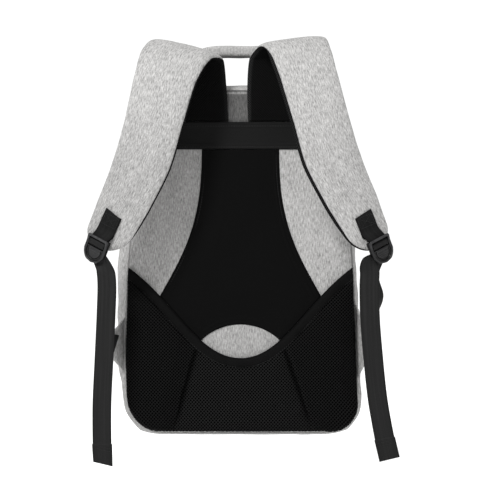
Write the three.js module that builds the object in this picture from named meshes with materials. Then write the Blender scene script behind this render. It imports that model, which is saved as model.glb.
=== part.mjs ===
// Laptop backpack with its harness, in millimetres, +Z up and the wearer's side towards -Y.
// The bag frame has x = 0 in the middle, y = 0 at the back seam and z = 0 at the underside.
// The part's own origin is the underside of the carry handle, where the bag hangs.
import * as THREE from 'three';

// Bag body
const BAG_HEIGHT = 463;
const BASE_HALF_WIDTH = 162;
const CROWN_HALF_WIDTH = 140;
const BASE_CORNER = 58;
const CROWN_CORNER = 64;
const SIDE_PULL = { low: 90, high: 105, bow: 14 };
const BAG_DEPTH = 150;
const FRONT_CROWN = 3;
const CROWN_DEPTH_SHARE = 0.8;
const SHELL_WALL = 3;
const GAP = 0.3;
const LEAST_CORNER = 10;
const CORNER_STEPS = 8;
const ARC_PULL = 0.5523;
const SLOPE_STEP = 1e-3;

// Back panel and what is sewn on it
const PANEL_THICKNESS = 10;
const PANEL_INSET = 8.6;
const PANEL_FACE = -PANEL_THICKNESS - GAP;
const YOKE = { low: 376, high: 412, thickness: 2.5, inset: 14 };
const SPINE = { topHalf: 50.8, hipHalf: 105.7, thickness: 2 };
const SPINE_SIDE = { upper: [50.8, 283], lower: [70, 246.7] };
const LENS = { half: 51.5, top: 146 };
const PAD_EDGE = { middle: [0, 102], lowPull: [55, 102], highPull: [85, 176], end: [147, 221] };
const PAD = { inset: 9.5, rim: 5, crown: 17, rimRadius: 16, shoulder: 0.45 };
const CREASE = { share: 0.34, low: 93, depth: 0.3 };
const BINDING = { width: 14, thickness: 9 };

// Harness
const STRAP = { face: 8, lining: 4.5, edgeShare: 0.42, squareness: 4, steps: 30 };
const STRAP_TIP = { radius: 26, leastShare: 0.35, seatFromEnd: 4 };
const WEBBING = { half: 12, thickness: 1.5 };
const WEBBING_STEPS = { stub: 48, adjuster: 110 };
const BUCKLE_LEAN = { x: 0.47, z: -0.88 };
const BUCKLE = { half: 17, rail: 3.6, top: 14.8, bottom: 18.5, low: 1.4, high: 5, bevel: 0.7 };
const BUCKLE_CORNER = { topIn: 3, topDown: 4, waist: -5, lipPull: 2, lipIn: 9 };
const SLOTS = [
  { from: -11.2, to: -2.2 },
  { from: 1.6, to: 8 },
];
const TAB = { low: 69, high: 191, seat: 1.9, lift: -2.6, thickness: 2.5, steps: 4 };
const TAB_APEX = { depth: -24, high: { x: 161.5, z: 136 }, low: { x: 164, z: 108 } };
const TAB_SEWN = [-6, -1, 6];
const HANDLE = { reach: 68, y: 36, underside: 503, half: 13, square: 0.42, steps: 24 };
const HANDLE_THICKNESS = { grip: 14, leg: 5, taper: 3 };

// Shell sections from the back seam to the front: depth, and how far the outline steps in there
const SHELL_SECTIONS = [
  { depth: 0, inset: 8 },
  { depth: 5, inset: 4.5 },
  { depth: 14, inset: 1.5 },
  { depth: 28, inset: 0 },
  { depth: 112, inset: 0 },
  { depth: 128, inset: 4 },
  { depth: 139, inset: 11 },
  { depth: 146, inset: 22 },
  { depth: 150, inset: 40 },
];

// Places along the pad's upper edge, from the middle to the side seam, where its columns end
const PAD_SHARES = [0, 0.1, 0.19, 0.26, 0.31, CREASE.share, 0.37, 0.43, 0.52, 0.63, 0.75, 0.86, 0.94, 1];

// Back panel sections from the seam to its face
const PANEL_SECTIONS = [
  { y: -GAP, inset: PANEL_INSET },
  { y: -7, inset: PANEL_INSET },
  { y: -9.3, inset: 10 },
  { y: -PANEL_THICKNESS, inset: 13 },
];

// Shoulder straps from root to tip: inner and outer edge [x, y, z], and share of the full thickness
const STRAP_ROWS = {
  left: [
    { inner: [-16, -14, 412.5], outer: [-79, -14, 412.5], full: 0.42 },
    { inner: [-20, -19, 459], outer: [-92, -19, 464], full: 0.85 },
    { inner: [-25, -30, 484], outer: [-106, -30, 498], full: 1 },
    { inner: [-32, -56, 492], outer: [-115, -54, 511], full: 1 },
    { inner: [-41, -82, 483], outer: [-126, -78, 497], full: 1 },
    { inner: [-56, -99, 456], outer: [-132, -94, 470], full: 1 },
    { inner: [-73, -109, 399], outer: [-145, -103, 408], full: 1 },
    { inner: [-89, -110, 345], outer: [-159, -101, 360], full: 0.9 },
    { inner: [-116, -105, 292], outer: [-180, -93, 306], full: 0.65 },
    { inner: [-150, -97, 236], outer: [-201, -85, 254], full: 0.6 },
  ],
  right: [
    { inner: [10, -14, 412.5], outer: [73, -14, 412.5], full: 0.42 },
    { inner: [9, -19, 461], outer: [83, -19, 464], full: 0.85 },
    { inner: [13, -30, 491], outer: [97, -30, 501], full: 1 },
    { inner: [27, -56, 502], outer: [108, -54, 514], full: 1 },
    { inner: [39, -82, 491], outer: [116, -78, 500], full: 1 },
    { inner: [50, -99, 464], outer: [121, -94, 474], full: 1 },
    { inner: [68, -109, 403], outer: [137, -103, 412], full: 1 },
    { inner: [83, -110, 350], outer: [152, -101, 364], full: 0.9 },
    { inner: [111, -105, 297], outer: [173, -93, 313], full: 0.65 },
    { inner: [150, -97, 237], outer: [194, -85, 255], full: 0.6 },
  ],
};

// Middle of each buckle as it is seen from the wearer's side
const BUCKLE_MIDDLE = { left: { x: -180, z: 247 }, right: { x: 177, z: 246 } };

// Webbing loop round the buckle's top bar: along the strap and off its face
const STUB_ROUTE = [
  { along: -48, off: 1.85 },
  { along: -36, off: 1.85 },
  { along: -25, off: 1.9 },
  { along: -18.5, off: 4.1 },
  { along: -15, off: 5.95 },
  { along: -13, off: 6.25 },
  { along: -10.7, off: 5.2 },
  { along: -9.95, off: 3.2 },
  { along: -10.7, off: 1.2 },
  { along: -13, off: 0.15 },
  { along: -18, off: 0 },
  { along: -28, off: 0 },
  { along: -46, off: 0 },
];

// Adjuster where it threads the buckle: along, off, shift towards the bag's middle
const THREADING = [
  { along: 14, off: -2.2, shift: 8 },
  { along: 7, off: -1.7, shift: 4 },
  { along: 1.5, off: -1.1, shift: 1 },
  { along: -1.8, off: 0.1, shift: 0 },
  { along: -3.4, off: 2.2, shift: 0 },
  { along: -3.4, off: 4.4, shift: 0 },
  { along: -2.3, off: 6, shift: 0 },
  { along: -0.3, off: 6.3, shift: 0 },
  { along: 1.6, off: 6, shift: 0 },
  { along: 2.8, off: 4.4, shift: 0 },
  { along: 3, off: 2.4, shift: 0.5 },
  { along: 4.8, off: 0.7, shift: 1.5 },
  { along: 8, off: 0.1, shift: 4.5 },
  { along: 14.5, off: -0.3, shift: 10 },
  { along: 20, off: -0.9, shift: 14.5 },
];

// Load run of the webbing from the anchor tab up to the buckle, and its free tail down to the hem
const LOAD_RUN = {
  left: [
    { point: [-170, -46, 149], across: [-0.45, 0.15, 0.88] },
    { point: [-166, -70, 179], across: [-0.8, 0.1, 0.6] },
    { point: [-170, -88, 209], across: [-0.9, 0.05, 0.4] },
  ],
  right: [
    { point: [171, -46, 149], across: [0.45, 0.15, 0.88] },
    { point: [173, -70, 180], across: [0.85, 0.1, 0.5] },
    { point: [168, -87, 209], across: [0.9, 0.05, 0.4] },
  ],
};
const TAIL = {
  left: [
    { point: [-169, -97.5, 214], across: [-0.98, 0, 0.15] },
    { point: [-168, -98, 200], across: [-1, 0, 0.05] },
    { point: [-169, -97, 166], across: [-1, 0, 0] },
    { point: [-172, -93, 108], across: [-1, 0, 0] },
    { point: [-175, -90, 47], across: [-1, 0, 0] },
    { point: [-175, -88, -1], across: [-1, 0, 0] },
    { point: [-174, -87, -26], across: [-1, 0, -0.05] },
  ],
  right: [
    { point: [164.5, -97.5, 214], across: [0.98, 0, 0.15] },
    { point: [163, -98, 199], across: [1, 0, 0.05] },
    { point: [165, -97, 158], across: [1, 0, 0] },
    { point: [169, -93, 113], across: [1, 0, 0.1] },
    { point: [175.5, -90, 54], across: [1, 0, 0.14] },
    { point: [183, -88, 6], across: [1, 0, 0.18] },
    { point: [189.5, -87, -21], across: [1, 0, 0.24] },
  ],
};
const HEM = { share: 2.1, extra: 0.4, step: 0.04 };

// Colours of the cloth, the mesh, the webbing and the moulded buckles
const FINISHES = {
  heather: { color: 0xb4b2b0, roughness: 0.95, metalness: 0 },
  panel: { color: 0x141416, roughness: 0.8, metalness: 0 },
  mesh: { color: 0x17181b, roughness: 0.9, metalness: 0 },
  webbing: { color: 0x242424, roughness: 0.75, metalness: 0 },
  plastic: { color: 0x2a2a2a, roughness: 0.4, metalness: 0 },
};

const vector = ([x, y, z]) => new THREE.Vector3(x, y, z);
const middle = (points) => {
  const sum = points.reduce((total, point) => total.add(point), new THREE.Vector3());
  return sum.divideScalar(points.length);
};
const blend = (a, b, share) => a + (b - a) * share;

// A closed surface from points and triangles, with its faces turned outwards.
function surface(points, triangles) {
  const cross = new THREE.Vector3();
  const volume = triangles.reduce(
    (sum, [a, b, c]) => sum + points[a].dot(cross.crossVectors(points[b], points[c])),
    0,
  );
  const facing = volume < 0 ? triangles.map(([a, b, c]) => [a, c, b]) : triangles;
  const geometry = new THREE.BufferGeometry().setFromPoints(points);
  geometry.setIndex(facing.flat());
  geometry.computeVertexNormals();
  return geometry;
}

// A closed skin through rings of points, with each end drawn to one point.
function loft(rings, start = middle(rings[0]), end = middle(rings.at(-1))) {
  const count = rings[0].length;
  const points = [...rings.flat(), start, end];
  const last = (rings.length - 1) * count;
  const triangles = [];
  for (let i = 0; i < count; i += 1) {
    const next = (i + 1) % count;
    for (let row = 0; row < last; row += count) {
      triangles.push([row + i, row + next, row + count + next]);
      triangles.push([row + i, row + count + next, row + count + i]);
    }
    triangles.push([next, i, points.length - 2]);
    triangles.push([last + i, last + next, points.length - 1]);
  }
  return surface(points, triangles);
}

// Right half of the bag's outline, stepped in by an inset, from the base up to the crown.
function halfOutline(inset) {
  const base = BASE_HALF_WIDTH - inset;
  const crown = CROWN_HALF_WIDTH - inset;
  const top = BAG_HEIGHT - inset;
  const low = Math.max(BASE_CORNER - inset, LEAST_CORNER);
  const high = Math.max(CROWN_CORNER - inset, LEAST_CORNER);
  const path = new THREE.Path().moveTo(0, inset).lineTo(base - low, inset);
  const lowPull = low * (1 - ARC_PULL);
  const highPull = high * (1 - ARC_PULL);
  path.bezierCurveTo(base - lowPull, inset, base, inset + lowPull, base, inset + low);
  const bow = crown + SIDE_PULL.bow;
  path.bezierCurveTo(base, inset + low + SIDE_PULL.low, bow, top - high - SIDE_PULL.high, crown, top - high);
  path.bezierCurveTo(crown, top - highPull, crown - highPull, top, crown - high, top);
  return path.lineTo(0, top).getPoints(CORNER_STEPS);
}

// Whole outline as a ring at one depth, which shrinks towards the crown.
function outlineRing(inset, depth) {
  const half = halfOutline(inset);
  const mirrored = half.slice(1, -1).reverse().map((p) => new THREE.Vector2(-p.x, p.y));
  return [...half, ...mirrored].map((p) => vector([p.x, bagDepth(depth, p.y), p.y]));
}

function bagDepth(depth, z) {
  return depth > 0 ? depth * blend(1, CROWN_DEPTH_SHARE, z / BAG_HEIGHT) : depth;
}

// Half width of the stepped-in outline at a height.
function edgeAt(inset, z) {
  const half = halfOutline(inset);
  const i = half.findIndex((p) => p.y >= z);
  const share = (z - half[i - 1].y) / (half[i].y - half[i - 1].y);
  return blend(half[i - 1].x, half[i].x, share);
}

// Lowest height of the stepped-in outline at a distance from the middle.
function floorAt(inset, x) {
  const half = halfOutline(inset);
  const i = half.findIndex((p) => p.x >= Math.abs(x) && p.x > 0);
  if (i < 1) return BASE_CORNER;
  const share = (Math.abs(x) - half[i - 1].x) / (half[i].x - half[i - 1].x);
  return blend(half[i - 1].y, half[i].y, share);
}

// Upper edge of the lumbar pad, a cubic from the middle out to the side seam.
const padCurve = new THREE.CubicBezierCurve(
  ...Object.values(PAD_EDGE).map(([x, z]) => new THREE.Vector2(x, z)),
);

function padShareAt(x) {
  const closeEnough = 1e-5;
  let low = 0;
  let high = 1;
  while (high - low > closeEnough) {
    const share = (low + high) / 2;
    if (padCurve.getPoint(share).x < Math.abs(x)) low = share;
    else high = share;
  }
  return low;
}

const padEdgeAt = (x) => padCurve.getPoint(padShareAt(x)).y;

// Point at a distance below the pad's upper edge, kept inside the side seam.
function belowPadEdge(share, distance) {
  const edge = padCurve.getPoint(Math.abs(share));
  const tangent = padCurve.getTangent(Math.abs(share));
  const z = edge.y - tangent.x * distance;
  const x = Math.min(edge.x + tangent.y * distance, edgeAt(PAD.inset, z));
  return new THREE.Vector2(Math.sign(share) * x, z);
}

// Plate cut to a shape in the plane of the back panel, standing off its face.
function facePlate(shape, thickness) {
  const geometry = new THREE.ExtrudeGeometry(shape, {
    depth: thickness,
    bevelEnabled: false,
    curveSegments: CORNER_STEPS,
  });
  return geometry.rotateX(Math.PI / 2).translate(0, PANEL_FACE, 0);
}

function bagShell() {
  const rings = (wall) =>
    SHELL_SECTIONS.map(({ depth, inset }) => outlineRing(inset + wall, depth * (1 - wall / BAG_DEPTH)));
  const apex = (wall) => {
    const depth = BAG_DEPTH + FRONT_CROWN - wall;
    return vector([0, bagDepth(depth, BAG_HEIGHT / 2), BAG_HEIGHT / 2]);
  };
  return loft([...rings(0).reverse(), ...rings(SHELL_WALL)], apex(0), apex(SHELL_WALL));
}

function backPanel() {
  return loft(PANEL_SECTIONS.map(({ y, inset }) => outlineRing(inset, y)));
}

function yokeBand() {
  const low = edgeAt(YOKE.inset, YOKE.low);
  const high = edgeAt(YOKE.inset, YOKE.high);
  const shape = new THREE.Shape().moveTo(-low, YOKE.low).lineTo(low, YOKE.low);
  shape.lineTo(high, YOKE.high).lineTo(-high, YOKE.high);
  return facePlate(shape, YOKE.thickness);
}

// Hourglass panel, whose lower edge follows the pad and is cut out in an arc above the middle.
function spinePanel() {
  const hipHeight = padEdgeAt(SPINE.hipHalf) + GAP;
  const tip = padEdgeAt(LENS.half) + GAP;
  const rise = LENS.top - tip;
  const radius = (LENS.half ** 2 + rise ** 2) / (2 * rise);
  const half = Math.asin(LENS.half / radius);
  const top = YOKE.low - GAP;
  const { upper, lower } = SPINE_SIDE;
  const steps = 6;
  const along = (i) => blend(SPINE.hipHalf, LENS.half, i / steps);
  const shape = new THREE.Shape().moveTo(SPINE.topHalf, top).lineTo(-SPINE.topHalf, top);
  shape.bezierCurveTo(-upper[0], upper[1], -lower[0], lower[1], -SPINE.hipHalf, hipHeight);
  for (let i = 1; i <= steps; i += 1) shape.lineTo(-along(i), padEdgeAt(along(i)) + GAP);
  shape.absarc(0, LENS.top - radius, radius, Math.PI / 2 + half, Math.PI / 2 - half, true);
  for (let i = steps - 1; i >= 0; i -= 1) shape.lineTo(along(i), padEdgeAt(along(i)) + GAP);
  shape.bezierCurveTo(lower[0], lower[1], upper[0], upper[1], SPINE.topHalf, top);
  return facePlate(shape, SPINE.thickness);
}

// Thickness of the pad: rounded at its rim, drawn in at the two creases.
function padThickness(share, rimDistance) {
  const lobe = Math.abs(share) / CREASE.share - 1;
  const away = lobe < 0 ? Math.sqrt(-lobe) : Math.sqrt(Math.min(lobe / PAD.shoulder, 1));
  const rim = Math.sqrt(1 - (1 - Math.min(rimDistance / PAD.rimRadius, 1)) ** 2);
  return PAD.rim + (PAD.crown - PAD.rim) * rim * blend(CREASE.depth, 1, away);
}

// Pad in three lobes: columns run from the floor up to the binding, and two of them are the creases.
function lumbarPad() {
  const rows = [0, 0.05, 0.16, 0.38, 0.62, 0.84, 1];
  const right = PAD_SHARES.slice(1);
  const columns = [...right.map((share) => -share).reverse(), ...PAD_SHARES];
  const side = edgeAt(PAD.inset, BASE_CORNER);
  const lowAt = (share) => {
    const inner = Math.abs(share) / CREASE.share;
    const outer = (Math.abs(share) - CREASE.share) / (1 - CREASE.share);
    return Math.sign(share) * (inner < 1 ? CREASE.low * inner : blend(CREASE.low, side, outer));
  };
  const front = columns.map((share) => {
    const x = lowAt(share);
    const floor = new THREE.Vector2(x, floorAt(PAD.inset, x));
    const top = belowPadEdge(share, BINDING.width + GAP);
    return rows.map((row) => {
      const place = floor.clone().lerp(top, row);
      const rim = Math.min(side - Math.abs(x), place.y - floor.y);
      return vector([place.x, PANEL_FACE - padThickness(share, rim), place.y]);
    });
  });
  const tall = rows.length;
  const count = columns.length * tall;
  const points = front.flat();
  points.push(...points.map((p) => vector([p.x, PANEL_FACE, p.z])));
  const triangles = [];
  const quad = (a, b, c, d) => triangles.push([a, b, c], [a, c, d]);
  for (let i = 0; i + 1 < columns.length; i += 1) {
    const low = i * tall;
    const high = low + tall - 1;
    for (let a = low; a < high; a += 1) {
      quad(a, a + tall, a + tall + 1, a + 1);
      quad(count + a + 1, count + a + tall + 1, count + a + tall, count + a);
    }
    quad(low + count, low + tall + count, low + tall, low);
    quad(high, high + tall, high + tall + count, high + count);
  }
  const last = count - tall;
  for (let j = 0; j + 1 < tall; j += 1) {
    quad(j, j + 1, j + 1 + count, j + count);
    quad(last + j + count, last + j + 1 + count, last + j + 1, last + j);
  }
  return surface(points, triangles);
}

// Tape along the pad's upper edge, crowned in section.
function lumbarBinding() {
  const section = [
    { in: 0, off: 0 },
    { in: 0, off: 0.55 },
    { in: 0.2, off: 0.95 },
    { in: 0.55, off: 1 },
    { in: 1, off: 0.9 },
    { in: 1, off: 0 },
  ];
  const ring = (share) =>
    section.map((row) => {
      const place = belowPadEdge(share, row.in * BINDING.width);
      return vector([place.x, PANEL_FACE - row.off * BINDING.thickness, place.y]);
    });
  const left = PAD_SHARES.slice(1).reverse();
  return loft([...left.map((share) => ring(-share)), ...PAD_SHARES.map(ring)]);
}

// Frames along a ruled strip: middle, direction across it, normal, half width and thickness.
function strip(stations, steps, normalSign = 1) {
  const points = new THREE.CatmullRomCurve3(stations.map((s) => s.point), false, 'centripetal');
  const laterals = new THREE.CatmullRomCurve3(stations.map((s) => s.across), false, 'centripetal');
  return Array.from({ length: steps + 1 }, (_, i) => {
    const share = i / steps;
    const place = share * (stations.length - 1);
    const from = stations[Math.min(Math.floor(place), stations.length - 2)];
    const to = stations[stations.indexOf(from) + 1];
    const part = place - stations.indexOf(from);
    const across = laterals.getPoint(share).normalize();
    const ahead = points.getPoint(Math.min(share + SLOPE_STEP, 1));
    const tangent = ahead.sub(points.getPoint(Math.max(share - SLOPE_STEP, 0))).normalize();
    return {
      middle: points.getPoint(share),
      across,
      tangent,
      normal: across.clone().cross(tangent).normalize().multiplyScalar(normalSign),
      half: blend(from.half, to.half, part),
      thickness: blend(from.thickness, to.thickness, part),
    };
  });
}

const placed = (frame, across, off) =>
  frame.middle.clone().addScaledVector(frame.across, across).addScaledVector(frame.normal, off);

// Flat webbing of rectangular section along a strip.
function webbing(stations, steps) {
  const corners = [
    [-1, -0.5],
    [1, -0.5],
    [1, 0.5],
    [-1, 0.5],
  ];
  const ring = (frame) => corners.map(([a, n]) => placed(frame, a * frame.half, n * frame.thickness));
  return loft(strip(stations, steps).map(ring));
}

const outwards = { left: -1, right: 1 };

// Frames of a shoulder strap between its face and its lining, drawn in round at the tip.
function strapFrames(side) {
  const stations = STRAP_ROWS[side].map((row) => {
    const inner = vector(row.inner);
    const outer = vector(row.outer);
    return {
      point: middle([inner, outer]),
      across: outer.clone().sub(inner).normalize(),
      half: inner.distanceTo(outer) / 2,
      thickness: row.full,
    };
  });
  const frames = strip(stations, STRAP.steps, -outwards[side]);
  const tip = frames.at(-1).middle;
  frames.forEach((frame) => {
    const share = Math.min(frame.middle.distanceTo(tip) / STRAP_TIP.radius, 1);
    frame.half *= Math.max(Math.sqrt(1 - (1 - share) ** 2), STRAP_TIP.leastShare);
  });
  return frames;
}

// One side of a strap: flat against its partner, crowned on the other side.
function strapLayer(frames, depth) {
  const profile = [-1, -0.9, -0.6, 0, 0.6, 0.9, 1];
  const crown = (a) => blend(STRAP.edgeShare, 1, Math.sqrt(1 - a ** STRAP.squareness));
  const inside = (Math.sign(depth) * GAP) / 2;
  const ring = (frame) => [
    ...profile.map((a) => placed(frame, a * frame.half, inside + depth * frame.thickness * crown(a))),
    placed(frame, frame.half, inside),
    placed(frame, -frame.half, inside),
  ];
  return loft(frames.map(ring));
}

// Buckle frame on the strap's tip: along the stub, across it and off the strap's face.
function buckleFrame(side, frames) {
  const seat = frames.at(-STRAP_TIP.seatFromEnd);
  const off = seat.normal.clone();
  const lean = vector([outwards[side] * BUCKLE_LEAN.x, 0, BUCKLE_LEAN.z]);
  const along = lean.addScaledVector(off, -lean.dot(off)).normalize();
  const inward = off.clone().cross(along).multiplyScalar(-outwards[side]);
  const lift = STRAP.face * seat.thickness + 2 * GAP + WEBBING.thickness / 2;
  const { x, z } = BUCKLE_MIDDLE[side];
  const aside = (x - seat.middle.x) * off.x + (z - seat.middle.z) * off.z;
  const origin = vector([x, seat.middle.y + (lift - aside) / off.y, z]);
  return { origin, along, inward, off };
}

const onBuckle = ({ origin, along, inward, off }, row) =>
  origin
    .clone()
    .addScaledVector(along, row.along)
    .addScaledVector(off, row.off)
    .addScaledVector(inward, row.shift ?? 0);

const flat = (point, across) => ({ point, across, ...WEBBING });

function strapStub(frame) {
  const across = frame.inward.clone().negate();
  return webbing(STUB_ROUTE.map((row) => flat(onBuckle(frame, row), across)), WEBBING_STEPS.stub);
}

// Moulded frame with two slots, narrower at its lower lip.
function buckle(frame) {
  const { half, rail, top, bottom, low, high, bevel } = BUCKLE;
  const { topIn, topDown, waist, lipPull, lipIn } = BUCKLE_CORNER;
  const shape = new THREE.Shape().moveTo(-half + topIn, top).lineTo(half - topIn, top);
  shape.quadraticCurveTo(half, top, half, top - topDown);
  shape.lineTo(half, waist).quadraticCurveTo(half - lipPull, -bottom, half - lipIn, -bottom);
  shape.lineTo(-half + lipIn, -bottom).quadraticCurveTo(-half + lipPull, -bottom, -half, waist);
  shape.lineTo(-half, top - topDown).quadraticCurveTo(-half, top, -half + topIn, top);
  const inner = half - rail;
  SLOTS.forEach(({ from, to }) => {
    const hole = new THREE.Path().moveTo(-inner, -from).lineTo(-inner, -to);
    shape.holes.push(hole.lineTo(inner, -to).lineTo(inner, -from).closePath());
  });
  const geometry = new THREE.ExtrudeGeometry(shape, {
    depth: high - low - 2 * bevel,
    bevelThickness: bevel,
    bevelSize: bevel,
    bevelOffset: -bevel,
    bevelSegments: 1,
    curveSegments: 4,
  });
  geometry.translate(0, 0, low + bevel);
  const up = frame.along.clone().negate();
  const axes = new THREE.Matrix4().makeBasis(up.clone().cross(frame.off), up, frame.off);
  return geometry.applyMatrix4(axes.setPosition(frame.origin));
}

// Triangular tab in the side seam, from its long sewn edge to the short edge that holds the webbing.
function anchorTab(side) {
  const sign = outwards[side];
  const seam = (z) => vector([sign * (edgeAt(PANEL_INSET, z) + TAB.seat), TAB.lift, z]);
  const apex = ({ x, z }) => vector([sign * x, TAB_APEX.depth, z]);
  const station = (upper, lower) => ({
    point: middle([upper, lower]),
    across: upper.clone().sub(lower).normalize(),
    half: upper.distanceTo(lower) / 2,
    thickness: TAB.thickness,
  });
  return [
    station(seam(TAB.high), seam(TAB.low)),
    station(apex(TAB_APEX.high), apex(TAB_APEX.low)),
  ];
}

// Webbing from the tab's inner face up through the buckle and down to its folded hem.
function adjuster(side, frame, tab) {
  const [seam, apex] = tab;
  const run = apex.point.clone().sub(seam.point).normalize();
  const inside = run.clone().cross(apex.across).normalize().multiplyScalar(outwards[side]);
  const lift = (TAB.thickness + WEBBING.thickness) / 2 + GAP;
  const onTab = (along) =>
    flat(apex.point.clone().addScaledVector(run, along).addScaledVector(inside, lift), apex.across);
  const hand = ({ point, across }) => flat(vector(point), vector(across).normalize());
  const across = frame.inward.clone().negate();
  const hung = TAIL[side].map(hand);
  const [hemTop, hemEnd] = hung.slice(-2);
  const folded = { half: WEBBING.half + HEM.extra, thickness: WEBBING.thickness * HEM.share };
  const hemStart = flat(hemTop.point.clone().lerp(hemEnd.point, HEM.step), hemTop.across);
  return webbing(
    [
      ...TAB_SEWN.map(onTab),
      ...LOAD_RUN[side].map(hand),
      ...THREADING.map((row) => flat(onBuckle(frame, row), across)),
      ...hung.slice(0, -1),
      { ...hemStart, ...folded },
      { ...hemEnd, ...folded },
    ],
    WEBBING_STEPS.adjuster,
  );
}

// Padded arch whose legs stand on the bag's top.
function carryHandle() {
  const { grip, leg, taper } = HANDLE_THICKNESS;
  const foot = BAG_HEIGHT + GAP;
  const rise = HANDLE.underside + grip / 2 - foot;
  const section = [
    [-1, -0.55],
    [-0.75, -1],
    [0.75, -1],
    [1, -0.55],
    [1, 0.55],
    [0.75, 1],
    [-0.75, 1],
    [-1, 0.55],
  ];
  const arch = (angle) => {
    const c = Math.cos(angle);
    const x = -HANDLE.reach * Math.sign(c) * Math.abs(c) ** HANDLE.square;
    return vector([x, HANDLE.y, foot + rise * Math.sin(angle) ** HANDLE.square]);
  };
  const rings = Array.from({ length: HANDLE.steps + 1 }, (_, i) => {
    const share = i / HANDLE.steps;
    const centre = arch(Math.PI * share);
    const ahead = arch(Math.PI * Math.min(share + SLOPE_STEP, 1));
    const tangent = ahead.sub(arch(Math.PI * Math.max(share - SLOPE_STEP, 0))).normalize();
    const normal = vector([-tangent.z, 0, tangent.x]);
    const padded = Math.min((centre.z - foot) / rise, 1) ** taper;
    const half = blend(leg, grip, padded) / 2;
    return section.map(([across, off]) =>
      centre.clone().addScaledVector(normal, off * half).add(vector([0, across * HANDLE.half, 0])),
    );
  });
  return loft(rings);
}

function piece(name, geometry, finish) {
  const mesh = new THREE.Mesh(geometry, new THREE.MeshStandardMaterial(FINISHES[finish]));
  mesh.name = name;
  return mesh;
}

const bag = new THREE.Group();
bag.add(
  piece('bag_shell', bagShell(), 'heather'),
  piece('back_panel', backPanel(), 'heather'),
  piece('yoke_band', yokeBand(), 'panel'),
  piece('spine_panel', spinePanel(), 'panel'),
  piece('lumbar_pad', lumbarPad(), 'mesh'),
  piece('lumbar_binding', lumbarBinding(), 'panel'),
  piece('carry_handle', carryHandle(), 'heather'),
);

const harness = new THREE.Group();
for (const side of ['left', 'right']) {
  const frames = strapFrames(side);
  const frame = buckleFrame(side, frames);
  const tab = anchorTab(side);
  harness.add(
    piece(`strap_face_${side}`, strapLayer(frames, STRAP.face), 'heather'),
    piece(`strap_lining_${side}`, strapLayer(frames, -STRAP.lining), 'mesh'),
    piece(`strap_stub_${side}`, strapStub(frame), 'webbing'),
    piece(`buckle_${side}`, buckle(frame), 'plastic'),
    piece(`anchor_tab_${side}`, webbing(tab, TAB.steps), 'heather'),
    piece(`adjuster_${side}`, adjuster(side, frame, tab), 'webbing'),
  );
}

const backpack = new THREE.Group();
backpack.add(bag, harness);
bag.position.set(0, -HANDLE.y, -HANDLE.underside);
harness.position.copy(bag.position);

export default backpack;
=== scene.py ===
"""Looks of a laptop backpack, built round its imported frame.

Shapes are worked out in the bag frame, in millimetres: x = 0 in the middle, y = 0 at the back seam with the
wearer's side towards -Y, and z = 0 at the underside. add_mesh sets them in the row frame, in metres.
"""
import math
from types import SimpleNamespace as Sizes

import bmesh
import bpy
import numpy as np
from mathutils import Matrix, Vector


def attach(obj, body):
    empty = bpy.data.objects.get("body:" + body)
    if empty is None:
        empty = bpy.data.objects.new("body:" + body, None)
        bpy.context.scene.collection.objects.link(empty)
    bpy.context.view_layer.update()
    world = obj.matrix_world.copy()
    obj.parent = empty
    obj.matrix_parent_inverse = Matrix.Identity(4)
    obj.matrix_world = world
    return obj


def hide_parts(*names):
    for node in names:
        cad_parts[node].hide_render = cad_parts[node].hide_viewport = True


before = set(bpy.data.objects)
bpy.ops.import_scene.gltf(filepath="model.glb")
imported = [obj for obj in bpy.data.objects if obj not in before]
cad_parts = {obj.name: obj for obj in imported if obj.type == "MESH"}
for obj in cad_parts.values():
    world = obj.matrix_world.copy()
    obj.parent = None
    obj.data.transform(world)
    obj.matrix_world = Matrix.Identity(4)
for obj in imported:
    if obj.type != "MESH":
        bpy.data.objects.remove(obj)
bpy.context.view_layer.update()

MM = 0.001
ROW_ORIGIN = np.array([0.0, 36.0, 503.0])
TO_FRONT = np.array([0.0, 1, 0])
TO_WEARER = np.array([0.0, -1, 0])
SLOPE_STEP = 1e-3
LEAST_LENGTH = 1e-9
LEAST_STEP = 1e-6
CURVE_STEPS = 200

# Bag outline and depth
BAG_HEIGHT = 463
BASE_HALF = 162
CROWN_HALF = 140
BASE_CORNER = 53
CROWN_CORNER = 64
LEAST_CORNER = 10
SIDE_PULL = Sizes(low=90, high=105, bow=14)
SIDE_CROWDING = 0.82
ARC_PULL = 0.5523
OUTLINE_STEPS = Sizes(base=14, corner=16, side=44, top=14)
CROWN_DEPTH_SHARE = 0.8
CLOTH_WALL = 3
GAP = 0.3

# Gusset from the back seam to the front seam: depth, and how far the outline steps in there
GUSSET_SECTIONS = [
    (0, 8), (5, 4.5), (14, 1.5), (28, 0), (70, 0), (112, 0), (128, 4), (136.5, 9), (137.5, 11.5),
]
GUSSET = Sizes(rows=15, every=2, fine_rows=46, seam_share=0.9)
FRONT_SEAM_INSET = 11
FRONT = Sizes(inset=FRONT_SEAM_INSET + 0.6, seam=FRONT_SEAM_INSET + 7, held=3, folds_from=30)
# Front panel: distance from its seam, and depth there
FRONT_PROFILE = [(0, 136), (1.2, 139), (4, 142.5), (11, 146.5), (29, 150), (60, 152), (130, 153)]
FRONT_PROFILE_STEPS = 60

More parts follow.
